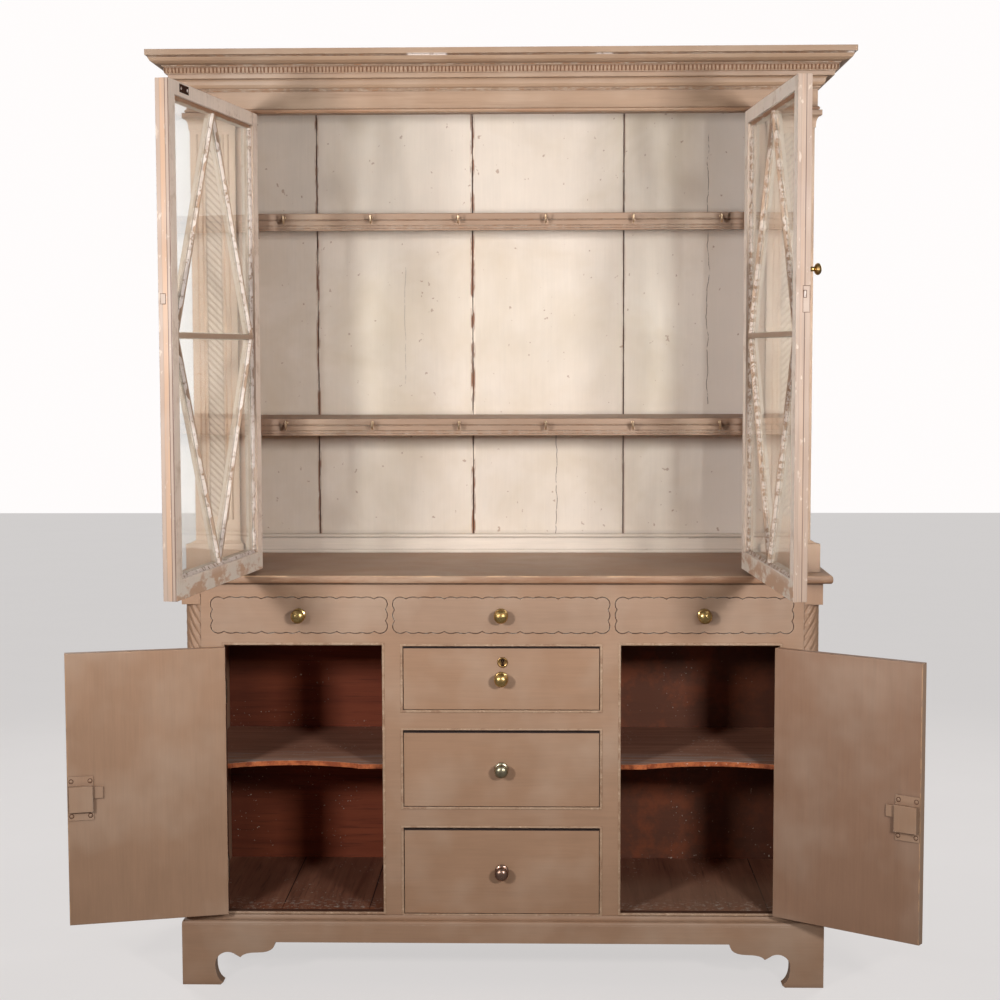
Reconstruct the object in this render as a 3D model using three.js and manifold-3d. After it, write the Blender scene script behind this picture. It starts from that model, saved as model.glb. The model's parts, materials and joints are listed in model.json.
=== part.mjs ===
// Painted welsh dresser: a base with six drawers and two cupboards on bracket feet, and an upper
// cabinet with two glazed doors, plate shelves, pilasters and a moulded cornice.
// Millimetres. X runs to the right, Y to the back and Z up. While the pieces are made, X is zero in
// the middle, Y is zero on the front of the base face frame and Z is zero on the floor.
import * as THREE from 'three';
import { mergeVertices } from 'three/addons/utils/BufferGeometryUtils.js';
import Module from 'manifold-3d';

const wasm = await Module();
wasm.setup();

// Clearances
const seatGap = 0.3;          // between pieces that are fixed to each other
const drawerGap = 1.5;        // round a drawer front in its opening
const doorGap = 3;            // between a door and the stile that it is hung on
const doorEndGap = 1.5;       // above and below a cupboard door
const meetingGap = 2.4;       // between the two glazed doors
const slideGap = 2;           // beside and behind a drawer box
const cutRun = 5;             // how far a cutting body runs past the face that it cuts
const weldGap = 0.0001;       // corners nearer to each other than this are one corner

// Base carcase
const frameHalfWidth = 660;   // flat part of the base face frame, from the middle
const frameThickness = 20;
const columnRadius = 37;      // quarter column at each front corner
const baseDepth = 470;
const sideThickness = 20;
const backThickness = 12;
const floorThickness = 19.4;
const worktopTop = 912;
const worktopThickness = 18;
const worktopOverhang = 22;   // past the sides and the face frame

// Plinth and bracket feet
const plinthTop = 136;
const plinthThickness = 30;
const plinthSideProjection = 10.5;
const plinthFrontProjection = 23;
const plinthMouldingHeight = 17;
const apronHeight = 96.5;
const footWidth = 84;         // along the floor
const footToeWidth = 90;      // tip of the small toe, from the corner
const footToeHeight = 5;
const footSpan = 206;         // from the corner to the end of the curved bracket
const footCurlRadius = 28;
const footCurlOffset = 101;   // centre of the round cut, from the corner
const footCurlHeight = 46;
const footCuspOffset = 129;
const footCuspHeight = 62;
const footShoulderHeight = 73;

// Openings of the base face frame
const drawerHalfWidth = 216;  // half the width of the central drawers' openings
const mullionWidth = 46;      // between the central drawers and a cupboard
const stileWidth = 52;        // outside each cupboard
const cupboardSill = 3.3;     // bottom rail above the floor board
const cupboardHead = 27;      // rail between the cupboards and the frieze drawers
const drawerHead = 3;         // central drawers below the top of the cupboards
const drawerRowShares = [     // bottom and top of each central drawer opening, of their whole height
  { name: 'lower', bottomShare: 0, topShare: 0.3216 },
  { name: 'middle', bottomShare: 0.4028, topShare: 0.6868 },
  { name: 'upper', bottomShare: 0.7647, topShare: 1 },
];
const friezeHeight = 79;      // frieze drawer fronts, over their bulges
const friezeDrop = 32;        // from the underside of the worktop to a frieze drawer front
const friezeCentreHalf = 237;
const friezeMuntin = 12.5;    // between two frieze drawer fronts
const friezeStile = 23;       // outside the outer two
const scallopRise = 4.5;      // how far a bulge stands out from a deep cusp
const scallopShallow = 2.4;   // the same for the two shallow cusps between deep ones
const scallopPitch = 28;      // wanted length of one bulge
const scallopCorner = 15;     // radius of the round corners of a frieze drawer front

// Corner columns
const columnStrands = 12;     // round a full turn
const strandDepth = 3;
const strandSteepness = 1.4;  // rise of a strand for each length round the column
const columnBlockHeight = 47; // square block above the carving
const columnFootHeight = 44;
const columnBlockProud = 3;
const columnRings = 28;

// Inside the base
const partitionThickness = 20;
const dustBoardThickness = 16;
const friezeBoardRise = 4;    // dust board above the lowest edge of the frieze drawer fronts
const cupboardShelfShare = 0.5436;  // top of the cupboard shelf, of the cupboard's height
const cupboardShelfThickness = 11;
const cupboardShelfFront = 45;      // front edge at the ends, from the face
const cupboardShelfHollow = 30;     // depth of the hollow front edge
const cupboardShelfEnd = 72;        // straight stretch at each end of the front edge
const shelfNotch = 4;               // small step where the hollow begins

// Drawer boxes
const drawerWall = 10;
const drawerBottomThickness = 6;
const drawerBackGap = 28;     // from a closed drawer to the back panel
const drawerBoxDrop = 8;      // drawer sides lower than the opening
const friezeBoxInset = 9;     // frieze drawer box inside the bulges of its front

// Cupboard doors
const cupboardDoorThickness = 20;
const cupboardDoorRound = 1.5;
const leftCupboardRest = 165.5;     // degrees open at rest
const rightCupboardRest = 145.1;

// Hinges
const axisForward = 4.5;      // hinge pin in front of the closed door
const barrelRadius = 4;
const leafThickness = 1.2;
const leafWidth = 20;
const cupboardHingeLength = 50;
const cupboardHingeInset = 75;      // from the end of the door to the near end of its hinge
const glazedHingeLength = 62;
const glazedHingeInset = 120;
const barrelCap = 2.5;        // height of the rounded tip at each end of the barrel

// Box locks on the cupboard doors
const lockPlateMargin = 2;    // plate beyond each side of the case
const lockPlateHeight = 96;
const lockPlateThickness = 2.5;
const lockCaseWidth = 50;
const lockCaseHeight = 56;
const lockCaseDepth = 14;
const lockTabWidth = 20;
const lockTabHeight = 25;
const lockTabDepth = 5;
const lockTabRise = 12;       // tab centre above the case centre
const lockEdgeInset = 1.5;    // plate to the free edge of the door
const leftLockShare = 0.469;  // middle of the lock case, of the door's height
const rightLockShare = 0.447;

// Knobs, as radii and lengths
const knobBall = 15.5;        // flattened ball, across
const knobBallDepth = 9.8;    // the same along the knob's axis, from its middle
const knobRose = 13;
const knobRoseThickness = 3;
const knobNeck = 6;
const knobNeckLength = 11;
const smallKnobShare = 0.74;  // glazed door knob against a drawer knob
const knobSegments = 16;

// Upper cabinet
const upperSetIn = 18;        // from the sides of the base to the sides of the upper cabinet
const upperSetBack = 65;      // front of the upper face frame behind that of the base
const upperFrameThickness = 25;
const upperStileWidth = 117;
const upperHeight = 1106;     // sides of the upper cabinet, from the worktop
const upperHeadHeight = 103.5;      // face frame over the doors
const upperSideThickness = 20;
const topBoardThickness = 18;
const boardThickness = 10;
const boardJointShares = [-0.663, -0.1135, 0.4195];   // of half the cabinet's width
const jointWidth = 2.4;
const jointDepth = 3.5;
const backRailHeight = 45;
const backRailThickness = 14.5;
const backRailBead = 8;

// Pilasters
const pilasterReveal = 18;    // from a pilaster to the door opening
const pilasterThickness = 12;
const pilasterBlockHeight = 71;
const pilasterBlockProud = 8;
const pilasterBlockSideProud = 21;
const pilasterChamfer = 9;
const capitalHeight = 36;
const capitalProjection = 14;
const capitalInnerProjection = 8;   // on the side of the door opening
const stripWidth = 35;        // sunk strip for the carving
const stripDepth = 3;
const stripRise = 124;        // bottom of the strip above the worktop
const stripTopMargin = 12;    // below the capital

// Cornice
const corniceRise = 24;       // top of the cornice above the sides of the cabinet
const corniceProjection = 73;
const corniceThickness = 6;   // frieze board of the cornice on the sides of the cabinet
const corniceFrontThickness = 12;

// Plate shelves
const plateShelfDepth = 280;
const plateShelfThickness = 18;
const plateShelfShares = [          // top of each shelf, of the height of the upper opening
  { name: 'lower', topShare: 0.3332 },
  { name: 'upper', topShare: 0.7935 },
];
const nosingHeight = 38.5;
const nosingThickness = 16;
const nosingReeds = 3;
const nosingReedDepth = 2.4;
const hookCount = 6;
const hookPitchShare = 0.2887; // of half the cabinet's width
const hookDisc = 7.5;
const hookDiscThickness = 2.5;
const hookWire = 2;
const hookReach = 13;
const hookHeightShare = 0.4;  // of the nosing, from its top down to a hook

// Glazed doors
const glazedThickness = 27;
const glazedFootGap = 7.5;    // above the worktop
const glazedHeadGap = 2;      // under the head of the face frame
const glazedStile = 40;
const glazedTopRail = 34;
const glazedBottomRail = 46;
const glazedMiddleShare = 0.514;    // centre of the middle bar, of the door's height
const glazedRebate = 7;       // glass beyond the sight opening
const glassDepth = 14;        // glass behind the front of the door
const glassThickness = 3;
const glassClearance = 1;
const barWidth = 14;
const barNose = 4;            // narrow front of a glazing bar
const barSetBack = 1.5;       // bars behind the front of the door
const leftGlazedRest = 98.4;  // degrees open at rest
const rightGlazedRest = 94;
const glazedKnobShare = 0.636;       // of the door's height

// Sizes that follow from the ones above
const sideOuter = frameHalfWidth + columnRadius;
const sideInner = sideOuter - sideThickness;
const worktopBottom = worktopTop - worktopThickness;
const caseBottom = plinthTop + seatGap;
const caseTop = worktopBottom - seatGap;
const floorTop = caseBottom + floorThickness;
const frameBack = frameThickness + seatGap;
const backFace = baseDepth - backThickness;
const drawerFrontThickness = frameThickness;
const drawerDepth = backFace - drawerBackGap;
const lockPlateWidth = lockCaseWidth + 2 * lockPlateMargin;
const cupboardInner = drawerHalfWidth + mullionWidth;
const cupboardOuter = frameHalfWidth - stileWidth;
const friezeTop = worktopBottom - friezeDrop;
const friezeBottom = friezeTop - friezeHeight;
const friezeSideInner = friezeCentreHalf + friezeMuntin;
const friezeSideOuter = frameHalfWidth - friezeStile;
const friezeBoardTop = friezeBottom + friezeBoardRise;
const cupboardBottom = floorTop + cupboardSill;
const cupboardTop = friezeBottom - cupboardHead;
const cupboardShelfTop = floorTop + cupboardShelfShare * (cupboardTop - floorTop);
const drawersBottom = floorTop + seatGap;
const drawersHeight = cupboardTop - drawerHead - drawersBottom;
const drawerRows = drawerRowShares.map(({ name, bottomShare, topShare }) => ({
  name,
  bottom: drawersBottom + bottomShare * drawersHeight,
  top: drawersBottom + topShare * drawersHeight,
}));
const partitionCentre = (drawerHalfWidth + cupboardInner) / 2;
const partitionInner = partitionCentre - partitionThickness / 2;
const partitionOuter = partitionCentre + partitionThickness / 2;
const plinthOuter = sideOuter + plinthSideProjection;
const upperCaseBottom = worktopTop + seatGap;
const upperHalfWidth = sideOuter - upperSetIn;
const upperFrontY = upperSetBack;
const upperFrameBack = upperFrontY + upperFrameThickness;
const upperOpeningHalf = upperHalfWidth - upperStileWidth;
const pilasterWidth = upperStileWidth - pilasterReveal;
const upperSideTop = worktopTop + upperHeight;
const upperOpeningTop = upperSideTop - upperHeadHeight;
const boardFaceY = baseDepth - boardThickness;
const corniceTop = upperSideTop + corniceRise;
const friezeHalfWidth = upperHalfWidth + corniceThickness;
const friezeFrontY = upperFrontY - corniceFrontThickness;
const plateShelfFrontY = boardFaceY - plateShelfDepth;
const glazedBottom = worktopTop + glazedFootGap;
const glazedTop = upperOpeningTop - glazedHeadGap;
const glazedHeight = glazedTop - glazedBottom;
const glazedMiddle = glazedBottom + glazedMiddleShare * glazedHeight;
const pilasterInner = upperHalfWidth - pilasterWidth;
const pilasterFrontY = upperFrontY - seatGap - pilasterThickness;

// Materials
const paint = (color) => new THREE.MeshStandardMaterial({ color, roughness: 0.62, metalness: 0 });
const taupePaint = paint(0xb19a82);
const deepTaupePaint = paint(0x9a826b);
const creamPaint = paint(0xd9d4c3);
const stainedWood = new THREE.MeshStandardMaterial({ color: 0x5a2f1d, roughness: 0.7, metalness: 0 });
const brass = new THREE.MeshStandardMaterial({ color: 0xa08a4a, roughness: 0.32, metalness: 1 });
const iron = new THREE.MeshStandardMaterial({ color: 0x8b7763, roughness: 0.55, metalness: 0.4 });
const glass = new THREE.MeshStandardMaterial({
  color: 0xeaf0ee, roughness: 0.05, metalness: 0, transparent: true, opacity: 0.25,
});

const dresser = new THREE.Group();

// Solid helpers
function solid(geometry) {
  const bare = geometry.index ? geometry.clone() : geometry;
  bare.deleteAttribute('normal');
  bare.deleteAttribute('uv');
  const merged = mergeVertices(bare, weldGap);
  return new wasm.Manifold(new wasm.Mesh({
    numProp: 3,
    vertProperties: new Float32Array(merged.attributes.position.array),
    triVerts: new Uint32Array(merged.index.array),
  }));
}

function geometryOf(body) {
  const mesh = body.getMesh();
  const geometry = new THREE.BufferGeometry();
  geometry.setAttribute('position', new THREE.BufferAttribute(new Float32Array(mesh.vertProperties), 3));
  geometry.setIndex(new THREE.BufferAttribute(new Uint32Array(mesh.triVerts), 1));
  const flat = geometry.toNonIndexed();
  flat.computeVertexNormals();
  return flat;
}

function addPiece(name, shape, material, parent = dresser) {
  const geometry = shape.isBufferGeometry ? shape : geometryOf(shape);
  const mesh = new THREE.Mesh(geometry, material);
  mesh.name = name;
  parent.add(mesh);
  return mesh;
}

// Box between two corners
function block(x0, x1, y0, y1, z0, z1) {
  const geometry = new THREE.BoxGeometry(x1 - x0, y1 - y0, z1 - z0);
  return solid(geometry.translate((x0 + x1) / 2, (y0 + y1) / 2, (z0 + z1) / 2));
}

// Outline in X and Z, given thickness from yFront to yBack
function plateXZ(shape, yFront, yBack, segments = 1) {
  const geometry = new THREE.ExtrudeGeometry(shape, {
    depth: yBack - yFront, bevelEnabled: false, curveSegments: segments,
  });
  geometry.rotateX(Math.PI / 2);
  return solid(geometry.translate(0, yBack, 0));
}

// Outline in Y and Z, given length from x0 to x1
function barYZ(shape, x0, x1, segments = 1) {
  const geometry = new THREE.ExtrudeGeometry(shape, {
    depth: x1 - x0, bevelEnabled: false, curveSegments: segments,
  });
  const turn = new THREE.Matrix4().makeBasis(
    new THREE.Vector3(0, 1, 0), new THREE.Vector3(0, 0, 1), new THREE.Vector3(1, 0, 0));
  return solid(geometry.applyMatrix4(turn).translate(x0, 0, 0));
}

// Outline in X and Y, given height from z0 to z1
function slabXY(shape, z0, z1, segments = 1) {
  const geometry = new THREE.ExtrudeGeometry(shape, {
    depth: z1 - z0, bevelEnabled: false, curveSegments: segments,
  });
  return solid(geometry.translate(0, 0, z0));
}

function rectangle(x0, x1, z0, z1) {
  const shape = new THREE.Shape();
  shape.moveTo(x0, z0);
  shape.lineTo(x1, z0);
  shape.lineTo(x1, z1);
  shape.lineTo(x0, z1);
  shape.closePath();
  return shape;
}

// Closed body through rings of points, each ring run the same way round, from the bottom up
function loft(rings) {
  const count = rings[0].length;
  const positions = rings.flat().flatMap((p) => [p.x, p.y, p.z]);
  const index = [];
  for (let r = 0; r < rings.length - 1; r += 1) {
    for (let i = 0; i < count; i += 1) {
      const a = r * count + i;
      const b = r * count + ((i + 1) % count);
      index.push(a, b, b + count, a, b + count, a + count);
    }
  }
  const last = (rings.length - 1) * count;
  const caps = [rings[0], rings[rings.length - 1]].map((ring) => (
    ring.reduce((sum, p) => sum.add(p), new THREE.Vector3()).divideScalar(count)));
  caps.forEach((p) => positions.push(p.x, p.y, p.z));
  for (let i = 0; i < count; i += 1) {
    const next = (i + 1) % count;
    index.push(last + count, next, i);
    index.push(last + count + 1, last + i, last + next);
  }
  const geometry = new THREE.BufferGeometry();
  geometry.setAttribute('position', new THREE.BufferAttribute(new Float32Array(positions), 3));
  geometry.setIndex(index);
  return geometry;
}

// A moulding run round the front and both sides of a rectangle, flat at the back.
// Each profile point has out, how far it stands out from the rectangle, and z.
function mouldedBlock({ x0, x1, yFront, yBack, profile, left = 1, right = 1, front = 1 }) {
  const rings = profile.map(({ out, z }) => [
    new THREE.Vector3(x0 - out * left, yFront - out * front, z),
    new THREE.Vector3(x1 + out * right, yFront - out * front, z),
    new THREE.Vector3(x1 + out * right, yBack, z),
    new THREE.Vector3(x0 - out * left, yBack, z),
  ]);
  return solid(loft(rings));
}

// Profile points from a path drawn with out along X and z along Y
function profileOf(path, divisions) {
  return path.getPoints(divisions).map((p) => ({ out: p.x, z: p.y }));
}

function union(bodies) {
  return bodies.reduce((sum, body) => sum.add(body));
}

// Bracket foot outline, from the outer corner at the floor to the start of the straight apron.
// The first coordinate runs inwards from the corner.
function footCurve() {
  const curl = Math.atan2(footCuspHeight - footCurlHeight, footCuspOffset - footCurlOffset);
  const path = new THREE.Path();
  path.moveTo(0, 0);
  path.lineTo(footWidth, 0);
  path.lineTo(footToeWidth, footToeHeight);
  path.quadraticCurveTo(
    footCurlOffset - footCurlRadius, footCurlHeight / 3,
    footCurlOffset - footCurlRadius, footCurlHeight);
  path.absarc(footCurlOffset, footCurlHeight, footCurlRadius, Math.PI, curl + Math.PI / 8, true);
  path.lineTo(footCuspOffset, footCuspHeight);
  const shoulder = (footSpan - footCuspOffset) / 2 + footCuspOffset;
  path.quadraticCurveTo(
    footCuspOffset + footCurlRadius / 4, footShoulderHeight, shoulder, footShoulderHeight);
  path.quadraticCurveTo(footSpan, footShoulderHeight, footSpan, apronHeight);
  return path.getPoints(6);
}

// Board with a bracket foot at each end, standing on the floor from a to b
function bracketBoard(a, b, top) {
  const curve = footCurve();
  const shape = new THREE.Shape();
  shape.moveTo(a, top);
  for (const p of curve) shape.lineTo(a + p.x, p.y);
  for (const p of curve.reverse()) shape.lineTo(b - p.x, p.y);
  shape.lineTo(b, top);
  shape.closePath();
  return shape;
}

// Plinth: front board with its moulding, and the two side boards
function makePlinth() {
  const frontY = -plinthFrontProjection;
  const sideTop = plinthTop - seatGap;
  const board = plateXZ(
    bracketBoard(-plinthOuter, plinthOuter, plinthTop), frontY, frontY + plinthThickness);
  const slope = plinthSideProjection / plinthFrontProjection;
  const path = new THREE.Path();
  const full = plinthFrontProjection - seatGap;
  const half = plinthMouldingHeight / 2;
  path.moveTo(full, plinthTop);
  path.quadraticCurveTo(full, plinthTop + half, full * 0.7, plinthTop + half);
  path.lineTo(full * 0.6, plinthTop + half);
  path.quadraticCurveTo(full * 0.2, plinthTop + half, full * 0.15, plinthTop + plinthMouldingHeight);
  const ring = mouldedBlock({
    x0: -sideOuter, x1: sideOuter, yFront: 0, yBack: baseDepth, left: slope, right: slope,
    profile: profileOf(path, 4),
  });
  const inside = block(
    -sideOuter - seatGap, sideOuter + seatGap, -seatGap, baseDepth + cutRun,
    plinthTop - cutRun, plinthTop + plinthMouldingHeight + cutRun);
  addPiece('front_plinth', board.add(ring.subtract(inside)), taupePaint);

  const outline = bracketBoard(frontY, baseDepth, sideTop);
  const corner = [frontY - cutRun, frontY + plinthThickness + seatGap];
  for (const [side, x0] of [['left', -plinthOuter], ['right', plinthOuter - plinthThickness]]) {
    const run = barYZ(outline, x0, x0 + plinthThickness);
    const cut = block(
      x0 - cutRun, x0 + plinthThickness + cutRun, corner[0], corner[1], -cutRun,
      plinthTop + cutRun);
    addPiece(`side_plinth_${side}`, run.subtract(cut), deepTaupePaint);
  }
}

// Outline of a frieze drawer front: round corners, and bulges between cusps on all four edges.
// Every third cusp of a long edge is deep and the two between are shallow.
function scallopedOutline(x0, x1, z0, z1, grow) {
  const radius = scallopCorner + grow;
  const inset = scallopCorner;
  const corners = [
    { x: x0 + inset, z: z0 + inset, from: Math.PI },
    { x: x1 - inset, z: z0 + inset, from: 1.5 * Math.PI },
    { x: x1 - inset, z: z1 - inset, from: 0 },
    { x: x0 + inset, z: z1 - inset, from: 0.5 * Math.PI },
  ];
  const points = [];
  const arcSteps = 3;
  const bulgeSteps = 4;
  corners.forEach((corner, k) => {
    for (let i = 0; i <= arcSteps; i += 1) {
      const angle = corner.from + (i / arcSteps) * (Math.PI / 2);
      points.push([corner.x + radius * Math.cos(angle), corner.z + radius * Math.sin(angle)]);
    }
    const next = corners[(k + 1) % corners.length];
    const run = Math.hypot(next.x - corner.x, next.z - corner.z);
    const outward = corner.from + Math.PI / 2;
    const onward = outward + Math.PI / 2;
    const cusps = Math.max(1, Math.round(run / scallopPitch));
    const [startX, startZ] = points[points.length - 1];
    for (let i = 1; i < cusps * bulgeSteps; i += 1) {
      const turn = 0.5 + i / bulgeSteps;
      const within = turn - Math.floor(turn);
      const deep = cusps < 3 || Math.round(turn) % 3 === 1;
      const sink = (deep ? scallopRise : scallopShallow) * (1 - 4 * within * (1 - within));
      const along = (run * i) / (cusps * bulgeSteps);
      points.push([
        startX + along * Math.cos(onward) - sink * Math.cos(outward),
        startZ + along * Math.sin(onward) - sink * Math.sin(outward),
      ]);
    }
  });
  return new THREE.Shape(points.map(([x, z]) => new THREE.Vector2(x, z)));
}

// The three frieze drawers, with their fronts and boxes from left to right
const friezeDrawers = [
  { name: 'left', x0: -friezeSideOuter, x1: -friezeSideInner },
  { name: 'centre', x0: -friezeCentreHalf, x1: friezeCentreHalf },
  { name: 'right', x0: friezeSideInner, x1: friezeSideOuter },
];

// Face frame of the base: stiles, mullions and rails round eight openings
function makeBaseFrame() {
  const reach = frameHalfWidth - seatGap;
  const shape = rectangle(-reach, reach, caseBottom, caseTop);
  shape.holes.push(rectangle(-cupboardOuter, -cupboardInner, cupboardBottom, cupboardTop));
  shape.holes.push(rectangle(cupboardInner, cupboardOuter, cupboardBottom, cupboardTop));
  for (const row of drawerRows) {
    shape.holes.push(rectangle(-drawerHalfWidth, drawerHalfWidth, row.bottom, row.top));
  }
  for (const { x0, x1 } of friezeDrawers) {
    shape.holes.push(scallopedOutline(x0, x1, friezeBottom, friezeTop, drawerGap));
  }
  addPiece('base_face_frame', plateXZ(shape, 0, frameThickness), taupePaint);
}

// X range on one side of the dresser, from distances a and b from the middle
const spanOf = (side, a, b) => (side > 0 ? [a, b] : [-b, -a]);

// Quarter columns: a rope of twisted strands, cut to the corner, between two square blocks
function makeCorners() {
  const carvingBottom = caseBottom + columnFootHeight;
  const carvingTop = caseTop - columnBlockHeight;
  const pointsPerStrand = 4;
  const count = columnStrands * pointsPerStrand;
  const from = carvingBottom - cutRun;
  const height = carvingTop + cutRun - from;
  for (const [name, side] of [['left', -1], ['right', 1]]) {
    const rings = [];
    for (let r = 0; r <= columnRings; r += 1) {
      const rise = (height * r) / columnRings;
      const twist = (side * rise) / (strandSteepness * columnRadius);
      rings.push(Array.from({ length: count }, (_, i) => {
        const across = (2 * (i % pointsPerStrand)) / pointsPerStrand - 1;
        const radius = columnRadius - strandDepth * across * across;
        const angle = twist + (2 * Math.PI * i) / count;
        return new THREE.Vector3(
          side * frameHalfWidth + radius * Math.cos(angle),
          columnRadius + radius * Math.sin(angle), from + rise);
      }));
    }
    const quarter = block(
      ...spanOf(side, frameHalfWidth, sideOuter + cutRun), -cutRun, columnRadius, from, from + height);
    const head = block(
      ...spanOf(side, frameHalfWidth, sideOuter + columnBlockProud), -columnBlockProud, columnRadius,
      carvingTop, caseTop);
    const foot = block(
      ...spanOf(side, frameHalfWidth, sideOuter), 0, columnRadius, caseBottom, carvingBottom);
    const column = solid(loft(rings)).intersect(quarter);
    addPiece(`corner_column_${name}`, union([column, head, foot]), taupePaint);
  }
}

// Sides, back, floor, partitions, dust boards and shelves of the base
function makeBaseCase() {
  const innerReach = sideInner - seatGap;
  const backReach = backFace - seatGap;
  for (const [name, x0] of [['left', -sideOuter], ['right', sideInner]]) {
    addPiece(`base_side_${name}`, block(
      x0, x0 + sideThickness, columnRadius + seatGap, baseDepth, caseBottom, caseTop), deepTaupePaint);
  }
  addPiece('base_back_panel', block(
    -innerReach, innerReach, backFace, baseDepth, caseBottom, caseTop), stainedWood);
  const clearCorners = (body) => body.subtract(union([-1, 1].map((side) => block(
    ...spanOf(side, frameHalfWidth - seatGap, sideOuter), -cutRun, columnRadius + seatGap,
    caseBottom - cutRun, caseTop + cutRun))));
  const floorBoard = block(-innerReach, innerReach, frameBack, backReach, caseBottom, floorTop);
  addPiece('base_floor_board', clearCorners(floorBoard), stainedWood);

  const friezeBoardBottom = friezeBoardTop - dustBoardThickness;
  for (const [name, x0] of [['left', -partitionOuter], ['right', partitionInner]]) {
    addPiece(`partition_${name}`, block(
      x0, x0 + partitionThickness, frameBack, backReach, floorTop + seatGap,
      friezeBoardBottom - seatGap), stainedWood);
  }
  const dividerCentre = (friezeCentreHalf + friezeSideInner) / 2;
  const dividers = [-dividerCentre, dividerCentre].map((x) => block(
    x - partitionThickness / 2, x + partitionThickness / 2, frameBack, backReach,
    friezeBoardTop - dustBoardThickness / 2, caseTop));
  const board = block(
    -innerReach, innerReach, frameBack, backReach, friezeBoardBottom, friezeBoardTop);
  addPiece('frieze_dust_board', clearCorners(union([board, ...dividers])), stainedWood);

  const dustReach = partitionInner - seatGap;
  for (const row of drawerRows.slice(1)) {
    const top = row.bottom - seatGap;
    addPiece(`drawer_dust_board_${row.name}`, block(
      -dustReach, dustReach, frameBack, backReach, top - dustBoardThickness, top), stainedWood);
  }

  const shelfInner = partitionOuter + seatGap;
  for (const [name, side] of [['left', -1], ['right', 1]]) {
    const [x0, x1] = spanOf(side, shelfInner, innerReach);
    const shape = new THREE.Shape();
    const notchY = cupboardShelfFront + shelfNotch;
    shape.moveTo(x0, cupboardShelfFront);
    shape.lineTo(x0 + cupboardShelfEnd, cupboardShelfFront);
    shape.lineTo(x0 + cupboardShelfEnd, notchY);
    shape.quadraticCurveTo(
      (x0 + x1) / 2, notchY + 2 * cupboardShelfHollow, x1 - cupboardShelfEnd, notchY);
    shape.lineTo(x1 - cupboardShelfEnd, cupboardShelfFront);
    shape.lineTo(x1, cupboardShelfFront);
    shape.lineTo(x1, backReach);
    shape.lineTo(x0, backReach);
    shape.closePath();
    addPiece(`cupboard_shelf_${name}`, slabXY(
      shape, cupboardShelfTop - cupboardShelfThickness, cupboardShelfTop, 12), stainedWood);
  }
}

// Worktop with a rounded nose at the front and both ends
function makeWorktop() {
  const path = new THREE.Path();
  const under = worktopThickness / 3;
  path.moveTo(-under, worktopBottom);
  path.quadraticCurveTo(0, worktopBottom, 0, worktopBottom + worktopThickness / 2);
  path.quadraticCurveTo(0, worktopTop, -worktopThickness / 4, worktopTop);
  addPiece('worktop', mouldedBlock({
    x0: -sideOuter - worktopOverhang, x1: sideOuter + worktopOverhang,
    yFront: -worktopOverhang, yBack: baseDepth, profile: profileOf(path, 4),
  }), taupePaint);
}

// Knob turned about Y, standing out towards the front from a face at faceY
function makeKnob(name, x, faceY, z, scale, parent) {
  const path = new THREE.Path();
  const ballCentre = knobRoseThickness + knobNeckLength + knobBallDepth;
  const meet = Math.asin(knobNeck / knobBall);
  path.moveTo(0, 0);
  path.lineTo(knobRose, 0);
  path.lineTo(knobRose, knobRoseThickness * 0.6);
  path.lineTo(knobRose * 0.8, knobRoseThickness);
  path.quadraticCurveTo(
    knobNeck, knobRoseThickness, knobNeck, ballCentre - knobBallDepth * Math.cos(meet));
  path.absellipse(0, ballCentre, knobBall, knobBallDepth, meet - Math.PI / 2, Math.PI / 2, false);
  const points = path.getPoints(4);
  points[points.length - 1].x = 0;
  const geometry = new THREE.LatheGeometry(points, knobSegments);
  geometry.rotateX(Math.PI).scale(scale, scale, scale).translate(x, faceY - seatGap, z);
  return addPiece(name, solid(geometry), brass, parent);
}

// Open-topped drawer: front, two sides, back and bottom
function drawerBody(frontShape, x0, x1, z0, z1) {
  const front = plateXZ(frontShape, 0, drawerFrontThickness);
  const box = block(x0, x1, drawerFrontThickness / 2, drawerDepth, z0, z1);
  const inside = block(
    x0 + drawerWall, x1 - drawerWall, drawerFrontThickness, drawerDepth - drawerWall,
    z0 + drawerBottomThickness, z1 + cutRun);
  return union([front, box.subtract(inside)]);
}

function makeDrawers() {
  for (const { name, x0, x1 } of friezeDrawers) {
    const body = drawerBody(
      scallopedOutline(x0, x1, friezeBottom, friezeTop, 0),
      x0 + friezeBoxInset, x1 - friezeBoxInset, friezeBoardTop + seatGap, friezeTop - drawerBoxDrop);
    addPiece(`frieze_drawer_${name}`, body, taupePaint);
    makeKnob(`frieze_drawer_knob_${name}`, (x0 + x1) / 2, 0, (friezeBottom + friezeTop) / 2, 1);
  }
  for (const row of drawerRows) {
    const half = drawerHalfWidth - drawerGap;
    const boxHalf = drawerHalfWidth - slideGap;
    const body = drawerBody(
      rectangle(-half, half, row.bottom + drawerGap, row.top - drawerGap),
      -boxHalf, boxHalf, row.bottom + seatGap, row.top - drawerBoxDrop);
    addPiece(`drawer_${row.name}`, body, taupePaint);
    makeKnob(`drawer_knob_${row.name}`, 0, 0, (row.bottom + row.top) / 2, 1);
  }
}

// X range of a stretch from u0 to u1, measured from the pin towards the middle
const stretch = (side, u0, u1) => (side < 0 ? [u0, u1] : [-u1, -u0]);

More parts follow.
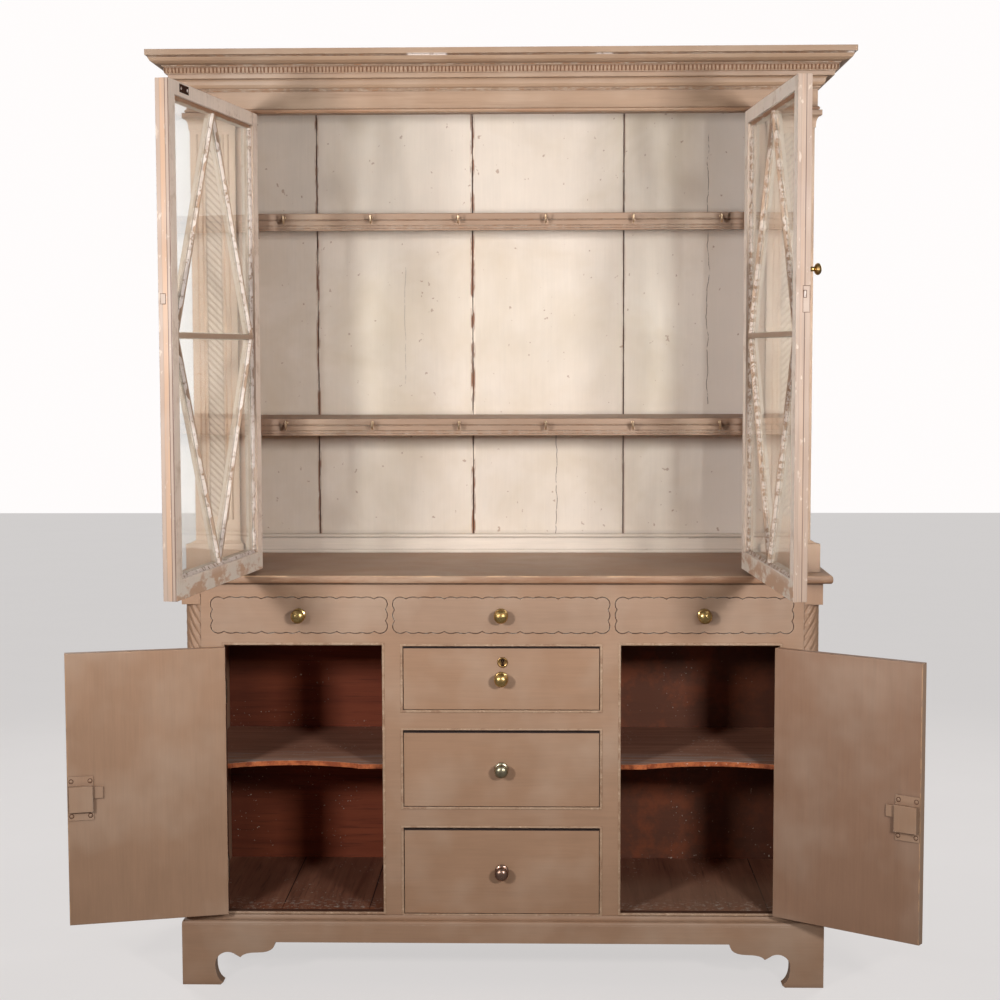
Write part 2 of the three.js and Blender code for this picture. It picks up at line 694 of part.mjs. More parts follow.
// Fixed half of a butt hinge: a leaf on the edge of the stile and the barrel on the pin.
// edgeX is the edge of the stile, and inward is the direction from it into the opening.
function makeHinge(name, edgeX, inward, axisX, axisY, z0, length) {
  const leafX = [edgeX + inward * seatGap, edgeX + inward * (seatGap + leafThickness)];
  const leaf = block(
    Math.min(...leafX), Math.max(...leafX), axisY, axisY + leafWidth, z0, z0 + length);
  const tip = barrelCap;
  const profile = [
    [0, -tip], [barrelRadius / 2, -tip], [barrelRadius, 0], [barrelRadius, length],
    [barrelRadius / 2, length + tip], [0, length + tip],
  ].map(([r, h]) => new THREE.Vector2(r, h));
  const barrel = new THREE.LatheGeometry(profile, 12);
  barrel.rotateX(Math.PI / 2).translate(axisX, axisY, z0);
  addPiece(name, union([leaf, solid(barrel)]), iron);
}

// Moving leaf of a butt hinge, let into the edge of a door and reaching up to the barrel
function doorLeaf(side, z0, length) {
  const sunk = cupboardDoorRound + seatGap;
  return block(
    ...stretch(side, doorGap / 2 - leafThickness, doorGap / 2 + sunk), barrelRadius + seatGap,
    leafWidth, z0, z0 + length);
}

// Pivot of a door: a group on the hinge pin, turned to where the door stands
function doorPivot(side, axisX, axisY, restDegrees) {
  const pivot = new THREE.Group();
  pivot.position.set(axisX, axisY, 0);
  pivot.rotation.z = side * THREE.MathUtils.degToRad(restDegrees);
  dresser.add(pivot);
  return pivot;
}

// Cupboard doors: a plain board with eased edges, a box lock inside and a knob outside
function makeCupboardDoors() {
  const pinInset = doorGap / 2;
  const width = cupboardOuter - doorGap - cupboardInner - doorEndGap;
  const z0 = cupboardBottom + doorEndGap;
  const z1 = cupboardTop - doorEndGap;
  const doors = [
    { name: 'left', side: -1, rest: leftCupboardRest, lockShare: leftLockShare },
    { name: 'right', side: 1, rest: rightCupboardRest, lockShare: rightLockShare },
  ];
  for (const { name, side, rest, lockShare } of doors) {
    const lockHeight = z0 + lockShare * (z1 - z0);
    const axisX = side * (cupboardOuter - pinInset);
    const pivot = doorPivot(side, axisX, -axisForward, rest);
    const free = pinInset + width;
    const [x0, x1] = stretch(side, pinInset, free);
    const round = cupboardDoorRound;
    const board = new THREE.ExtrudeGeometry(rectangle(x0 + round, x1 - round, z0 + round, z1 - round), {
      depth: cupboardDoorThickness - 2 * round,
      bevelSize: round,
      bevelThickness: round,
      bevelSegments: 2,
    });
    board.rotateX(Math.PI / 2).translate(0, axisForward + cupboardDoorThickness - round, 0);
    const ends = [z0 + cupboardHingeInset, z1 - cupboardHingeInset - cupboardHingeLength];
    const leaves = ends.map((z) => doorLeaf(side, z, cupboardHingeLength));
    addPiece(`cupboard_door_${name}`, union([solid(board), ...leaves]), taupePaint, pivot);

    const inside = axisForward + cupboardDoorThickness + seatGap;
    const plateEnd = free - lockEdgeInset;
    const plateStart = plateEnd - lockPlateWidth;
    const caseEdge = (lockPlateWidth - lockCaseWidth) / 2;
    const plate = block(
      ...stretch(side, plateStart, plateEnd), inside, inside + lockPlateThickness,
      lockHeight - lockPlateHeight / 2, lockHeight + lockPlateHeight / 2);
    const box = block(
      ...stretch(side, plateStart + caseEdge, plateEnd - caseEdge), inside, inside + lockCaseDepth,
      lockHeight - lockCaseHeight / 2, lockHeight + lockCaseHeight / 2);
    const tab = block(
      ...stretch(side, plateStart - lockTabWidth, plateStart + caseEdge * 2), inside,
      inside + lockTabDepth, lockHeight + lockTabRise - lockTabHeight / 2,
      lockHeight + lockTabRise + lockTabHeight / 2);
    addPiece(`cupboard_lock_${name}`, union([plate, box, tab]), iron, pivot);

    const knobX = -side * (plateStart + plateEnd) / 2;
    makeKnob(`cupboard_door_knob_${name}`, knobX, axisForward, lockHeight, 1, pivot);

    ends.forEach((z, i) => makeHinge(
      `cupboard_hinge_${name}_${i ? 'upper' : 'lower'}`, side * cupboardOuter, -side,
      axisX, -axisForward, z, cupboardHingeLength));
  }
}

// Sides, top, back boards, back rail and face frame of the upper cabinet
function makeUpperCase() {
  const sideInnerX = upperHalfWidth - upperSideThickness;
  const reach = sideInnerX - seatGap;
  for (const [name, x0] of [['left', -upperHalfWidth], ['right', sideInnerX]]) {
    addPiece(`upper_side_${name}`, block(
      x0, x0 + upperSideThickness, upperFrameBack + seatGap, baseDepth, upperCaseBottom,
      upperSideTop), taupePaint);
  }
  const topBottom = upperSideTop + seatGap;
  addPiece('upper_top_board', block(
    -upperHalfWidth, upperHalfWidth, upperFrontY, baseDepth, topBottom,
    topBottom + topBoardThickness), stainedWood);

  const boards = new THREE.Shape();
  boards.moveTo(-reach, boardFaceY + boardThickness);
  boards.lineTo(-reach, boardFaceY);
  for (const share of boardJointShares) {
    const x = share * upperHalfWidth;
    boards.lineTo(x - jointWidth / 2, boardFaceY);
    boards.lineTo(x, boardFaceY + jointDepth);
    boards.lineTo(x + jointWidth / 2, boardFaceY);
  }
  boards.lineTo(reach, boardFaceY);
  boards.lineTo(reach, boardFaceY + boardThickness);
  boards.closePath();
  addPiece('upper_back_boards', slabXY(boards, upperCaseBottom, upperSideTop), creamPaint);

  const railBack = boardFaceY - seatGap;
  const railFront = railBack - backRailThickness;
  const railTop = worktopTop + backRailHeight;
  const bead = backRailBead / 2;
  const rail = new THREE.Shape();
  rail.moveTo(railBack, upperCaseBottom);
  rail.lineTo(railBack, railTop);
  rail.lineTo(railFront + bead, railTop);
  rail.absarc(railFront + bead, railTop - bead, bead, Math.PI / 2, 1.5 * Math.PI, false);
  rail.lineTo(railFront + bead, railTop - 2.5 * bead);
  rail.lineTo(railFront, railTop - 2.5 * bead);
  rail.lineTo(railFront, upperCaseBottom + backRailBead);
  rail.quadraticCurveTo(
    railFront - bead, upperCaseBottom + backRailBead, railFront - bead, upperCaseBottom);
  rail.closePath();
  addPiece('upper_back_rail', barYZ(rail, -reach, reach, 4), creamPaint);

  const frame = new THREE.Shape();
  frame.moveTo(-upperHalfWidth, upperCaseBottom);
  frame.lineTo(-upperOpeningHalf, upperCaseBottom);
  frame.lineTo(-upperOpeningHalf, upperOpeningTop);
  frame.lineTo(upperOpeningHalf, upperOpeningTop);
  frame.lineTo(upperOpeningHalf, upperCaseBottom);
  frame.lineTo(upperHalfWidth, upperCaseBottom);
  frame.lineTo(upperHalfWidth, upperSideTop);
  frame.lineTo(-upperHalfWidth, upperSideTop);
  frame.closePath();
  addPiece('upper_face_frame', plateXZ(frame, upperFrontY, upperFrameBack), taupePaint);
}

// Pilasters: plinth block, shaft with a sunk strip, and capital, as one moulded post each
function makePilasters() {
  const blockTop = worktopTop + pilasterBlockHeight;
  const capitalTop = upperOpeningTop - seatGap;
  const capitalBottom = capitalTop - capitalHeight;
  const stripMiddle = upperHalfWidth - pilasterWidth / 2;
  const innerShare = capitalInnerProjection / capitalProjection;
  for (const [name, side] of [['left', -1], ['right', 1]]) {
    const ends = spanOf(side, pilasterInner, upperHalfWidth);
    const outerShare = pilasterBlockSideProud / pilasterBlockProud;
    const footing = mouldedBlock({
      x0: ends[0], x1: ends[1], yFront: pilasterFrontY, yBack: upperFrontY - seatGap,
      left: side < 0 ? outerShare : 1, right: side > 0 ? outerShare : 1,
      profile: [
        { out: pilasterBlockProud, z: upperCaseBottom },
        { out: pilasterBlockProud, z: blockTop - pilasterChamfer },
        { out: pilasterBlockProud * 0.6, z: blockTop - pilasterChamfer * 0.8 },
        { out: 0, z: blockTop },
      ],
    });
    const bell = new THREE.Path();
    bell.moveTo(0, blockTop - pilasterChamfer);
    bell.lineTo(0, capitalBottom);
    bell.lineTo(capitalProjection * 0.15, capitalBottom);
    bell.lineTo(capitalProjection * 0.15, capitalBottom + capitalHeight * 0.12);
    bell.quadraticCurveTo(
      capitalProjection * 0.2, capitalBottom + capitalHeight * 0.6,
      capitalProjection * 0.8, capitalBottom + capitalHeight * 0.68);
    bell.lineTo(capitalProjection, capitalBottom + capitalHeight * 0.7);
    bell.lineTo(capitalProjection, capitalTop);
    const post = mouldedBlock({
      x0: ends[0], x1: ends[1], yFront: pilasterFrontY, yBack: upperFrontY - seatGap,
      left: side < 0 ? 1 : innerShare, right: side > 0 ? 1 : innerShare,
      profile: profileOf(bell, 4),
    });
    const strip = block(
      side * stripMiddle - stripWidth / 2, side * stripMiddle + stripWidth / 2,
      pilasterFrontY - cutRun, pilasterFrontY + stripDepth, worktopTop + stripRise,
      capitalBottom - stripTopMargin);
    addPiece(`pilaster_${name}`, footing.add(post).subtract(strip), taupePaint);
  }
}

// Cornice, from the bottom up: bead, frieze board, small beads, three stepped bands, bead, ovolo
// and top fillet
function makeCornice() {
  const height = corniceTop - upperOpeningTop;
  const out = (share) => share * corniceProjection;
  const up = (share) => upperOpeningTop + share * height;
  const path = new THREE.Path();
  path.moveTo(0, upperOpeningTop);
  path.quadraticCurveTo(out(0.13), up(0.037), 0, up(0.075));
  path.lineTo(0, up(0.357));
  path.quadraticCurveTo(out(0.07), up(0.365), out(0.03), up(0.375));
  path.quadraticCurveTo(out(0.1), up(0.385), out(0.06), up(0.4));
  path.quadraticCurveTo(out(0.2), up(0.42), out(0.21), up(0.52));
  path.lineTo(out(0.24), up(0.545));
  path.lineTo(out(0.42), up(0.555));
  path.lineTo(out(0.44), up(0.625));
  path.lineTo(out(0.5), up(0.632));
  path.lineTo(out(0.54), up(0.742));
  path.quadraticCurveTo(out(0.63), up(0.752), out(0.58), up(0.765));
  path.quadraticCurveTo(out(0.9), up(0.78), out(0.93), up(0.872));
  path.lineTo(out(0.9), up(0.892));
  path.lineTo(out(1), up(0.908));
  path.lineTo(out(1), corniceTop);
  const body = mouldedBlock({
    x0: -friezeHalfWidth, x1: friezeHalfWidth, yFront: friezeFrontY, yBack: baseDepth,
    profile: profileOf(path, 3),
  });
  const inner = upperHalfWidth + seatGap;
  const inside = block(
    -inner, inner, upperFrontY - seatGap, baseDepth + cutRun,
    upperOpeningTop - cutRun, corniceTop + cutRun);
  addPiece('cornice', body.subtract(inside), taupePaint);
}

// Round rod through a row of points
function rod(points, radius, sides) {
  const curve = new THREE.CatmullRomCurve3(points);
  const steps = points.length + 1;
  const frames = curve.computeFrenetFrames(steps, false);
  const rings = frames.tangents.map((_, k) => {
    const centre = curve.getPointAt(k / steps);
    return Array.from({ length: sides }, (__, i) => {
      const angle = (2 * Math.PI * i) / sides;
      return centre.clone()
        .addScaledVector(frames.normals[k], radius * Math.cos(angle))
        .addScaledVector(frames.binormals[k], radius * Math.sin(angle));
    });
  });
  return solid(loft(rings));
}

// Cup hook on a face at faceY: a small disc and a wire that dips and turns up
function cupHook(x, faceY, z) {
  const sunk = hookDiscThickness / 2;
  const disc = new THREE.CylinderGeometry(hookDisc, hookDisc, hookDiscThickness + sunk, 10);
  disc.rotateX(Math.PI / 2).translate(x, faceY - (hookDiscThickness - sunk) / 2, z);
  const bendShares = [
    [-0.2, 0], [0.5, 0], [0.8, -0.35], [1.05, -0.9], [1.5, -0.95], [1.75, -0.4], [1.8, 0.2],
  ];
  const wire = bendShares.map(([outShare, upShare]) => new THREE.Vector3(
    x, faceY - outShare * hookReach, z + upShare * hookReach));
  return solid(disc).add(rod(wire, hookWire, 5));
}

// Plate shelves: a board with a deep reeded nosing, and a row of cup hooks on the nosing
function makePlateShelves() {
  const reach = upperHalfWidth - upperSideThickness - seatGap;
  for (const { name, topShare } of plateShelfShares) {
    const top = worktopTop + topShare * (upperOpeningTop - worktopTop);
    const shape = new THREE.Shape();
    const nosingBack = plateShelfFrontY + nosingThickness;
    const reed = nosingHeight / nosingReeds;
    shape.moveTo(boardFaceY - seatGap, top);
    shape.lineTo(plateShelfFrontY + nosingReedDepth, top);
    for (let i = 0; i < nosingReeds; i += 1) {
      const z = top - i * reed;
      shape.quadraticCurveTo(
        plateShelfFrontY - nosingReedDepth, z - reed / 2,
        plateShelfFrontY + nosingReedDepth, z - reed);
    }
    shape.lineTo(nosingBack, top - nosingHeight);
    shape.lineTo(nosingBack, top - plateShelfThickness);
    shape.lineTo(boardFaceY - seatGap, top - plateShelfThickness);
    shape.closePath();
    const hookZ = top - nosingHeight * hookHeightShare;
    const hooks = Array.from({ length: hookCount }, (_, i) => (
      cupHook((i - (hookCount - 1) / 2) * hookPitchShare * upperHalfWidth, plateShelfFrontY, hookZ)));
    addPiece(`plate_shelf_${name}`, union([barYZ(shape, -reach, reach, 4), ...hooks]), creamPaint);
  }
}

// The six light openings of a glazed door: triangles between the middle bar and the diagonals,
// for bars of the given half width. Corners of the sight opening stay where they are.
function lightOutlines(u0, u1, z0, z1, half) {
  const middle = (u0 + u1) / 2;
  const outlines = [];
  for (const end of [z1, z0]) {
    const way = Math.sign(end - glazedMiddle);
    const rise = Math.abs(end - glazedMiddle);
    const slant = Math.hypot(rise, middle - u0);
    const alongEnd = (half * slant) / rise;
    const alongSide = (half * slant) / (middle - u0);
    const base = glazedMiddle + way * half;
    const baseInset = (half * (middle - u0)) / rise + alongEnd;
    outlines.push([[u0, end], [u0, glazedMiddle + way * alongSide], [middle - alongEnd, end]]);
    outlines.push([[u1, end], [middle + alongEnd, end], [u1, glazedMiddle + way * alongSide]]);
    outlines.push([
      [middle, end - way * alongSide], [u0 + baseInset, base], [u1 - baseInset, base]]);
    if (way < 0) outlines.slice(-3).forEach((outline) => outline.reverse());
  }
  return outlines;
}

// Glazed doors: frame and tapered glazing bars in one, a pane behind the bars
function makeGlazedDoors() {
  const pinInset = doorGap / 2;
  const free = upperOpeningHalf - pinInset - meetingGap / 2;
  const front = axisForward;
  const back = front + glazedThickness;
  const sight = {
    u0: pinInset + glazedStile, u1: free - glazedStile,
    z0: glazedBottom + glazedBottomRail, z1: glazedTop - glazedTopRail,
  };
  const barFront = front + barSetBack;
  const barBack = front + glassDepth;
  const doors = [
    { name: 'left', side: -1, rest: leftGlazedRest },
    { name: 'right', side: 1, rest: rightGlazedRest },
  ];
  for (const { name, side, rest } of doors) {
    const axisX = side * (upperOpeningHalf - pinInset);
    const pivot = doorPivot(side, axisX, upperFrontY - axisForward, rest);
    const leaf = block(...stretch(side, pinInset, free), front, back, glazedBottom, glazedTop);
    const recess = block(
      ...stretch(side, sight.u0, sight.u1), front - cutRun, barFront, sight.z0, sight.z1);
    const rebate = block(
      ...stretch(side, sight.u0 - glazedRebate, sight.u1 + glazedRebate), barBack, back + cutRun,
      sight.z0 - glazedRebate, sight.z1 + glazedRebate);
    const narrow = lightOutlines(sight.u0, sight.u1, sight.z0, sight.z1, barNose / 2);
    const wide = lightOutlines(sight.u0, sight.u1, sight.z0, sight.z1, barWidth / 2);
    const lights = narrow.map((outline, k) => {
      const ring = (corners, y) => corners.map(([u, z]) => new THREE.Vector3(-side * u, y, z));
      const rings = [ring(outline, barFront - seatGap), ring(wide[k], barBack + seatGap)];
      if (side < 0) rings.forEach((corners) => corners.reverse());
      return solid(loft(rings));
    });
    const ends = [
      glazedBottom + glazedHingeInset, glazedTop - glazedHingeInset - glazedHingeLength];
    const leaves = ends.map((z) => doorLeaf(side, z, glazedHingeLength));
    const frame = leaf.subtract(union([recess, rebate, ...lights]));
    addPiece(`glazed_door_${name}`, union([frame, ...leaves]), creamPaint, pivot);

    const paneReach = glazedRebate - glassClearance;
    const paneFront = barBack + seatGap;
    addPiece(`glass_pane_${name}`, block(
      ...stretch(side, sight.u0 - paneReach, sight.u1 + paneReach), paneFront,
      paneFront + glassThickness, sight.z0 - paneReach, sight.z1 + paneReach), glass, pivot);

    ends.forEach((z, i) => makeHinge(
      `glazed_hinge_${name}_${i ? 'upper' : 'lower'}`, side * upperOpeningHalf, -side,
      axisX, upperFrontY - axisForward, z, glazedHingeLength));

    if (side > 0) {
      makeKnob(
        'glazed_door_knob', -(free - glazedStile / 2), front,
        glazedBottom + glazedKnobShare * glazedHeight, smallKnobShare, pivot);
    }
  }
}

makePlinth();
makeBaseCase();
makeBaseFrame();
makeCorners();
makeWorktop();
makeDrawers();
makeCupboardDoors();
makeUpperCase();
makePilasters();
makeCornice();
makePlateShelves();
makeGlazedDoors();

// Move the origin to the middle of the whole dresser's footprint, on the floor
dresser.updateMatrixWorld(true);
const extent = new THREE.Box3().setFromObject(dresser, true);
const middleX = (extent.min.x + extent.max.x) / 2;
const middleY = (extent.min.y + extent.max.y) / 2;
for (const child of dresser.children) {
  child.position.x -= middleX;
  child.position.y -= middleY;
  child.position.z -= extent.min.z;
}

export default dresser;
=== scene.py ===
import json
import math
import random

import bmesh
import bpy
from mathutils import Matrix, Vector


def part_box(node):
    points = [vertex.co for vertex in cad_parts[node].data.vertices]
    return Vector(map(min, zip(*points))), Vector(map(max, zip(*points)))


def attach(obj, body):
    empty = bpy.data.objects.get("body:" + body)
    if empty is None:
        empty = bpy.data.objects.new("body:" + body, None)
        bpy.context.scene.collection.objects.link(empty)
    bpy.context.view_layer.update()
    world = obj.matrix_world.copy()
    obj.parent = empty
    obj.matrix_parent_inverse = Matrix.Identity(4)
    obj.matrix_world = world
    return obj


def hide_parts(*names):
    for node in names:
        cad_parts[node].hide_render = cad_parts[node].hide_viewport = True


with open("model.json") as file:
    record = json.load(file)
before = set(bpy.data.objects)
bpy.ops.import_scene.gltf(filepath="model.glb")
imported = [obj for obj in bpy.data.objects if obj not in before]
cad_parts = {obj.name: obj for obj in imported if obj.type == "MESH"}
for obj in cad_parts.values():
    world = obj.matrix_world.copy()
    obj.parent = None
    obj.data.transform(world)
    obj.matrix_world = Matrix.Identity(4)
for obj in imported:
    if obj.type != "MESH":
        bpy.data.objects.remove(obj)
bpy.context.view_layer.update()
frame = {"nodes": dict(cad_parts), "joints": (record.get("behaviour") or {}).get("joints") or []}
nodes = frame["nodes"]
joints = {joint["child"]: joint for joint in frame["joints"]}

MM = 0.001
FRONT = Vector((0.0, -1.0, 0.0))
face_low, face_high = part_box("base_face_frame")
MIDDLE_X = (face_low.x + face_high.x) / 2
FACE_Y = face_low.y


def at(x, y, z):
    """Metres in the model's frame, from millimetres across, back and up from the base's face."""
    return Vector((MIDDLE_X + x * MM, FACE_Y + y * MM, z * MM))


def level(axis, value):
    """One coordinate of at()."""
    return at(value, value, value)["XYZ".index(axis)]


def span(node):
    """Box of a node in the dresser's millimetres, as two corners."""
    low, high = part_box(node)
    origin = at(0, 0, 0)
    return (low - origin) / MM, (high - origin) / MM


def srgb(red, green, blue):
    """Linear colour of an 8-bit one."""
    def channel(value):
        share = value / 255
        return share / 12.92 if share <= 0.04045 else ((share + 0.055) / 1.055) ** 2.4
    return (channel(red), channel(green), channel(blue), 1.0)


class Shader:
    """Adds nodes to one material, or to the world, and links them."""

    def __init__(self, name, world=False):
        self.owner = (bpy.data.worlds if world else bpy.data.materials).new(name)
        self.owner.use_nodes = True
        self.tree = self.owner.node_tree
        self.tree.nodes.clear()
        self.output = self.add("OutputWorld" if world else "OutputMaterial")
        self.place = None if world else self.add("TexCoord").outputs["Object"]

    def add(self, kind, inputs=None, **settings):
        node = self.tree.nodes.new("ShaderNode" + kind)
        for key, value in settings.items():
            setattr(node, key, value)
        for key, value in (inputs or {}).items():
            self.feed(node.inputs[key], value)
        return node

    def feed(self, socket, value):
        """Links a socket, or sets it; three numbers for a colour are 8-bit ones."""
        if isinstance(value, bpy.types.NodeSocket):
            self.tree.links.new(value, socket)
        elif socket.type == "RGBA" and len(value) == 3:
            socket.default_value = srgb(*value)
        else:
            socket.default_value = value

    def math(self, operation, first, second=0.0, clamp=False):
        return self.add("Math", {0: first, 1: second}, operation=operation,
                        use_clamp=clamp).outputs[0]

    def times(self, first, *others):
        """Product of two or more shares."""
        for other in others:
            first = self.math("MULTIPLY", first, other)
        return first

    def vector_math(self, operation, first, second, output="Vector"):
        return self.add("VectorMath", {0: first, 1: second},
                        operation=operation).outputs[output]

    def stretched(self, *scales):
        return self.vector_math("MULTIPLY", self.place, scales)

    def noise(self, scale, detail=3.0, place=None, roughness=0.55, warp=0.0):
        node = self.add("TexNoise", {
            "Vector": place or self.place, "Scale": scale, "Detail": detail,
            "Roughness": roughness, "Distortion": warp})
        return node.outputs["Fac"]

    def span(self, value, low, high, new_low=0.0, new_high=1.0):
        node = self.add("MapRange", {
            "Value": value, "From Min": low, "From Max": high,
            "To Min": new_low, "To Max": new_high})
        return node.outputs[0]

    def spots(self, low, high, *noise, **settings):
        """Noise turned into soft-edged spots: 0 below low, and 1 above high."""
        return self.span(self.noise(*noise, **settings), low, high)

    def mix(self, share, first, second):
        return self.add("Mix", {0: share, 6: first, 7: second},
                        data_type="RGBA").outputs[2]

    def lay(self, under, *layers):
        """Layers over a colour: each is a colour and the shares whose product it covers by."""
        for over, *shares in layers:
            under = self.mix(self.times(*shares), under, over)
        return under

    def axis(self, name):
        return self.add("SeparateXYZ", {"Vector": self.place}).outputs[name]

    def off_middle(self):
        """Metres sideways from the dresser's middle."""
        return self.math("ABSOLUTE", self.math("SUBTRACT", self.axis("X"), MIDDLE_X))

    def edges(self, radius, low=0.01, high=0.2):
        """Share of 1 on the arrises of the mesh, and 0 on its flats."""
        normal = self.add("NewGeometry").outputs["Normal"]
        dot = self.vector_math("DOT_PRODUCT", self.rounded(radius), normal, "Value")
        return self.span(self.math("SUBTRACT", 1.0, dot), low, high)

    def rounded(self, radius):
        return self.add("Bevel", {"Radius": radius}, samples=6).outputs[0]

    def crevices(self, distance):
        """Share of 1 deep in a corner, and 0 in the open."""
        node = self.add("AmbientOcclusion", {"Distance": distance}, samples=6)
        return self.math("SUBTRACT", 1.0, node.outputs["AO"])

    def bump(self, height, distance, strength, **normal):
        inputs = {"Height": height, "Distance": distance, "Strength": strength, **normal}
        return self.add("Bump", inputs).outputs[0]

    def line(self, value, centre, half_width):
        """Share of 1 where value is within half_width of centre."""
        away = self.math("ABSOLUTE", self.math("SUBTRACT", value, centre))
        return self.span(away, half_width, half_width * 0.6)

    def band(self, value, low, high, soft=0.0003):
        """Share of 1 where value lies between low and high."""
        above = self.span(value, low - soft, low + soft)
        return self.times(above, self.span(value, high + soft, high - soft))

    # The same three along an axis of the dresser, in its millimetres

    def ramp(self, axis, low, high, *ends):
        return self.span(self.axis(axis), level(axis, low), level(axis, high), *ends)

    def stripe(self, axis, centre, half_width):
        return self.line(self.axis(axis), level(axis, centre), half_width * MM)

    def zone(self, axis, low, high, soft=0.3):
        return self.band(self.axis(axis), level(axis, low), level(axis, high), soft * MM)

    def principled(self, **inputs):
        named = {key.replace("_", " "): value for key, value in inputs.items()}
        return self.add("BsdfPrincipled", named).outputs[0]

    def finish(self, shader):
        self.feed(self.output.inputs["Surface"], shader)
        return self.owner

    def surface(self, **inputs):
        return self.finish(self.principled(**inputs))


# How noise is stretched so that brush marks and grain run along one axis
GRAIN_SHARES = {"X": (0.05, 1.0, 1.0), "Y": (1.0, 0.05, 1.0), "Z": (1.0, 1.0, 0.05)}

# Colours are 8-bit red, green and blue, here and below
TAUPE = (174, 136, 108)
CREAM = (233, 219, 204)
EDGE_PAINT = (181, 155, 138)
UNDERCOAT = (224, 205, 186)
BARE_WOOD = (164, 108, 66)
GRIME_AND_SHADE = (70, 44, 32)
FOOT_SHADE_TOP = 750.0        # painted shade: the paint darkens from here down to the floor


def painted(name, colour, grain, under=UNDERCOAT, bare=BARE_WOOD, wear=0.5, shade=0.5,
            brush=1.0, marks=None):
    """Brushed eggshell paint, rubbed through to undercoat and wood along its arrises, with grime
    and painted shade in its crevices.

    marks takes the shader and the paint colour and returns it with the object's own marks.
    """
    s = Shader(name)
    along = s.stretched(*GRAIN_SHARES[grain])
    cloud = s.noise(1.8, 3.0)
    mottle = s.noise(9.0, 4.0)
    streak = s.noise(260.0, 3.0, along)
    grainy = s.noise(50.0, 4.0, along, warp=0.6)
    tone = s.span(cloud, 0.3, 0.7, -0.05, 0.05)
    for texture, swing in (mottle, 0.035), (streak, 0.035 * brush), (grainy, 0.03 * brush):
        tone = s.math("ADD", tone, s.span(texture, 0.3, 0.7, -swing, swing))
    # Painted shade: the paint darkens towards the floor, for light falling off there
    tone = s.math("ADD", tone, s.ramp("Z", 0.0, FOOT_SHADE_TOP, -0.1, 0.0))
    bright = s.add("HueSaturation", {"Value": s.math("ADD", 1.0, tone), "Color": colour})
    thin = s.span(s.noise(5.0, 3.0, roughness=0.6), 0.45, 0.7, 0.0, 0.18)
    # Grime and painted shade: darker paint deep in crevices and corners
    grime_and_shade = s.times(s.crevices(0.012), s.span(mottle, 0.3, 0.65, 0.6, 1.2))
    patches = s.spots(0.66 - 0.3 * wear, 0.76 - 0.3 * wear, 24.0, 5.0, roughness=0.7)
    chips = s.spots(0.52, 0.62, 150.0, 4.0, roughness=0.7)
    worst = s.math("MAXIMUM", patches, s.times(chips, 0.7))
    rubbed = s.math("MULTIPLY", s.edges(0.002), worst, clamp=True)
    core = s.math("MULTIPLY", s.span(rubbed, 0.45, 0.8), s.spots(0.42, 0.6, 60.0), clamp=True)
    paint = s.lay(
        bright.outputs[0], (UNDERCOAT, thin), (GRIME_AND_SHADE, s.math("MULTIPLY", grime_and_shade, shade, clamp=True)),
        (under, rubbed, 0.75), (bare, core))
    if marks:
        paint = marks(s, paint)

    relief = s.math("ADD", s.times(streak, 0.5), s.times(grainy, 0.5))
    relief = s.math("SUBTRACT", relief, s.times(rubbed, 0.8))
    normal = s.bump(relief, 0.00018, 0.7, Normal=s.rounded(0.0011))
    rough = s.span(mottle, 0.3, 0.7, 0.44, 0.58)
    return s.surface(Base_Color=paint, Roughness=rough, Normal=normal)


DARK_WOOD = (92, 38, 22)
RED_STAIN = (156, 70, 42)
BLACK_GRAIN = (38, 20, 14)
DUST = (216, 200, 184)


def stained(name, grain, dark=DARK_WOOD, red=RED_STAIN, marks=None):
    """Old bare boards with a dark red stain, dusty and specked."""
    s = Shader(name)
    along = s.stretched(*GRAIN_SHARES[grain])
    broad = s.noise(3.0, 3.0)
    figure = s.noise(26.0, 5.0, along, warp=1.2)
    fine = s.noise(190.0, 4.0, along)
    wood = s.lay(
        dark, (red, s.span(figure, 0.3, 0.7)), (dark, s.span(broad, 0.35, 0.7, 0.0, 0.6)),
        (BLACK_GRAIN, s.span(fine, 0.55, 0.75, 0.0, 0.5)))
    if marks:
        wood = marks(s, wood)
    specks = s.spots(0.7, 0.74, 150.0, 1.0, roughness=0.4)
    wood = s.lay(wood, (DUST, specks, s.spots(0.52, 0.6, 7.0), 0.8))
    relief = s.math("ADD", s.times(figure, 0.4), s.times(fine, 0.6))
    return s.surface(Base_Color=wood, Roughness=s.span(broad, 0.3, 0.7, 0.5, 0.72),
                     Normal=s.bump(relief, 0.0005, 0.8), Specular_IOR_Level=0.25)


def aged_metal(name, bright, dull, polish):
    """Metal with a dull patina, clearer where hands have rubbed it."""
    s = Shader(name)
    patina = s.spots(0.38, 0.68, 60.0, 4.0)
    dirt = s.math("MAXIMUM", s.times(patina, 0.7), s.times(s.spots(0.6, 0.7, 300.0), 0.6))
    dirt = s.math("MAXIMUM", dirt, s.crevices(0.004), clamp=True)
    rough = s.span(dirt, 0.0, 1.0, polish, polish + 0.3)
    return s.surface(Base_Color=s.mix(dirt, bright, dull), Metallic=1.0, Roughness=rough,
                     Normal=s.bump(s.noise(180.0, 3.0), 0.0001, 0.5))


LOOSE_DIRT = (92, 62, 44)


def shadowed(name, colour):
    """Dirt and painted shade in a hole or a joint: a dark colour that stands in for the darkness
    there.
    """
    s = Shader(name)
    dirt = s.noise(80.0, 4.0)
    tone = s.mix(s.span(dirt, 0.35, 0.7, 0.0, 0.5), colour, LOOSE_DIRT)
    return s.surface(Base_Color=tone, Roughness=0.9, Normal=s.bump(dirt, 0.0004, 0.6),
                     Specular_IOR_Level=0.1)


YELLOW_CHALK = (208, 190, 178)
GREY_WOOD = (150, 118, 94)


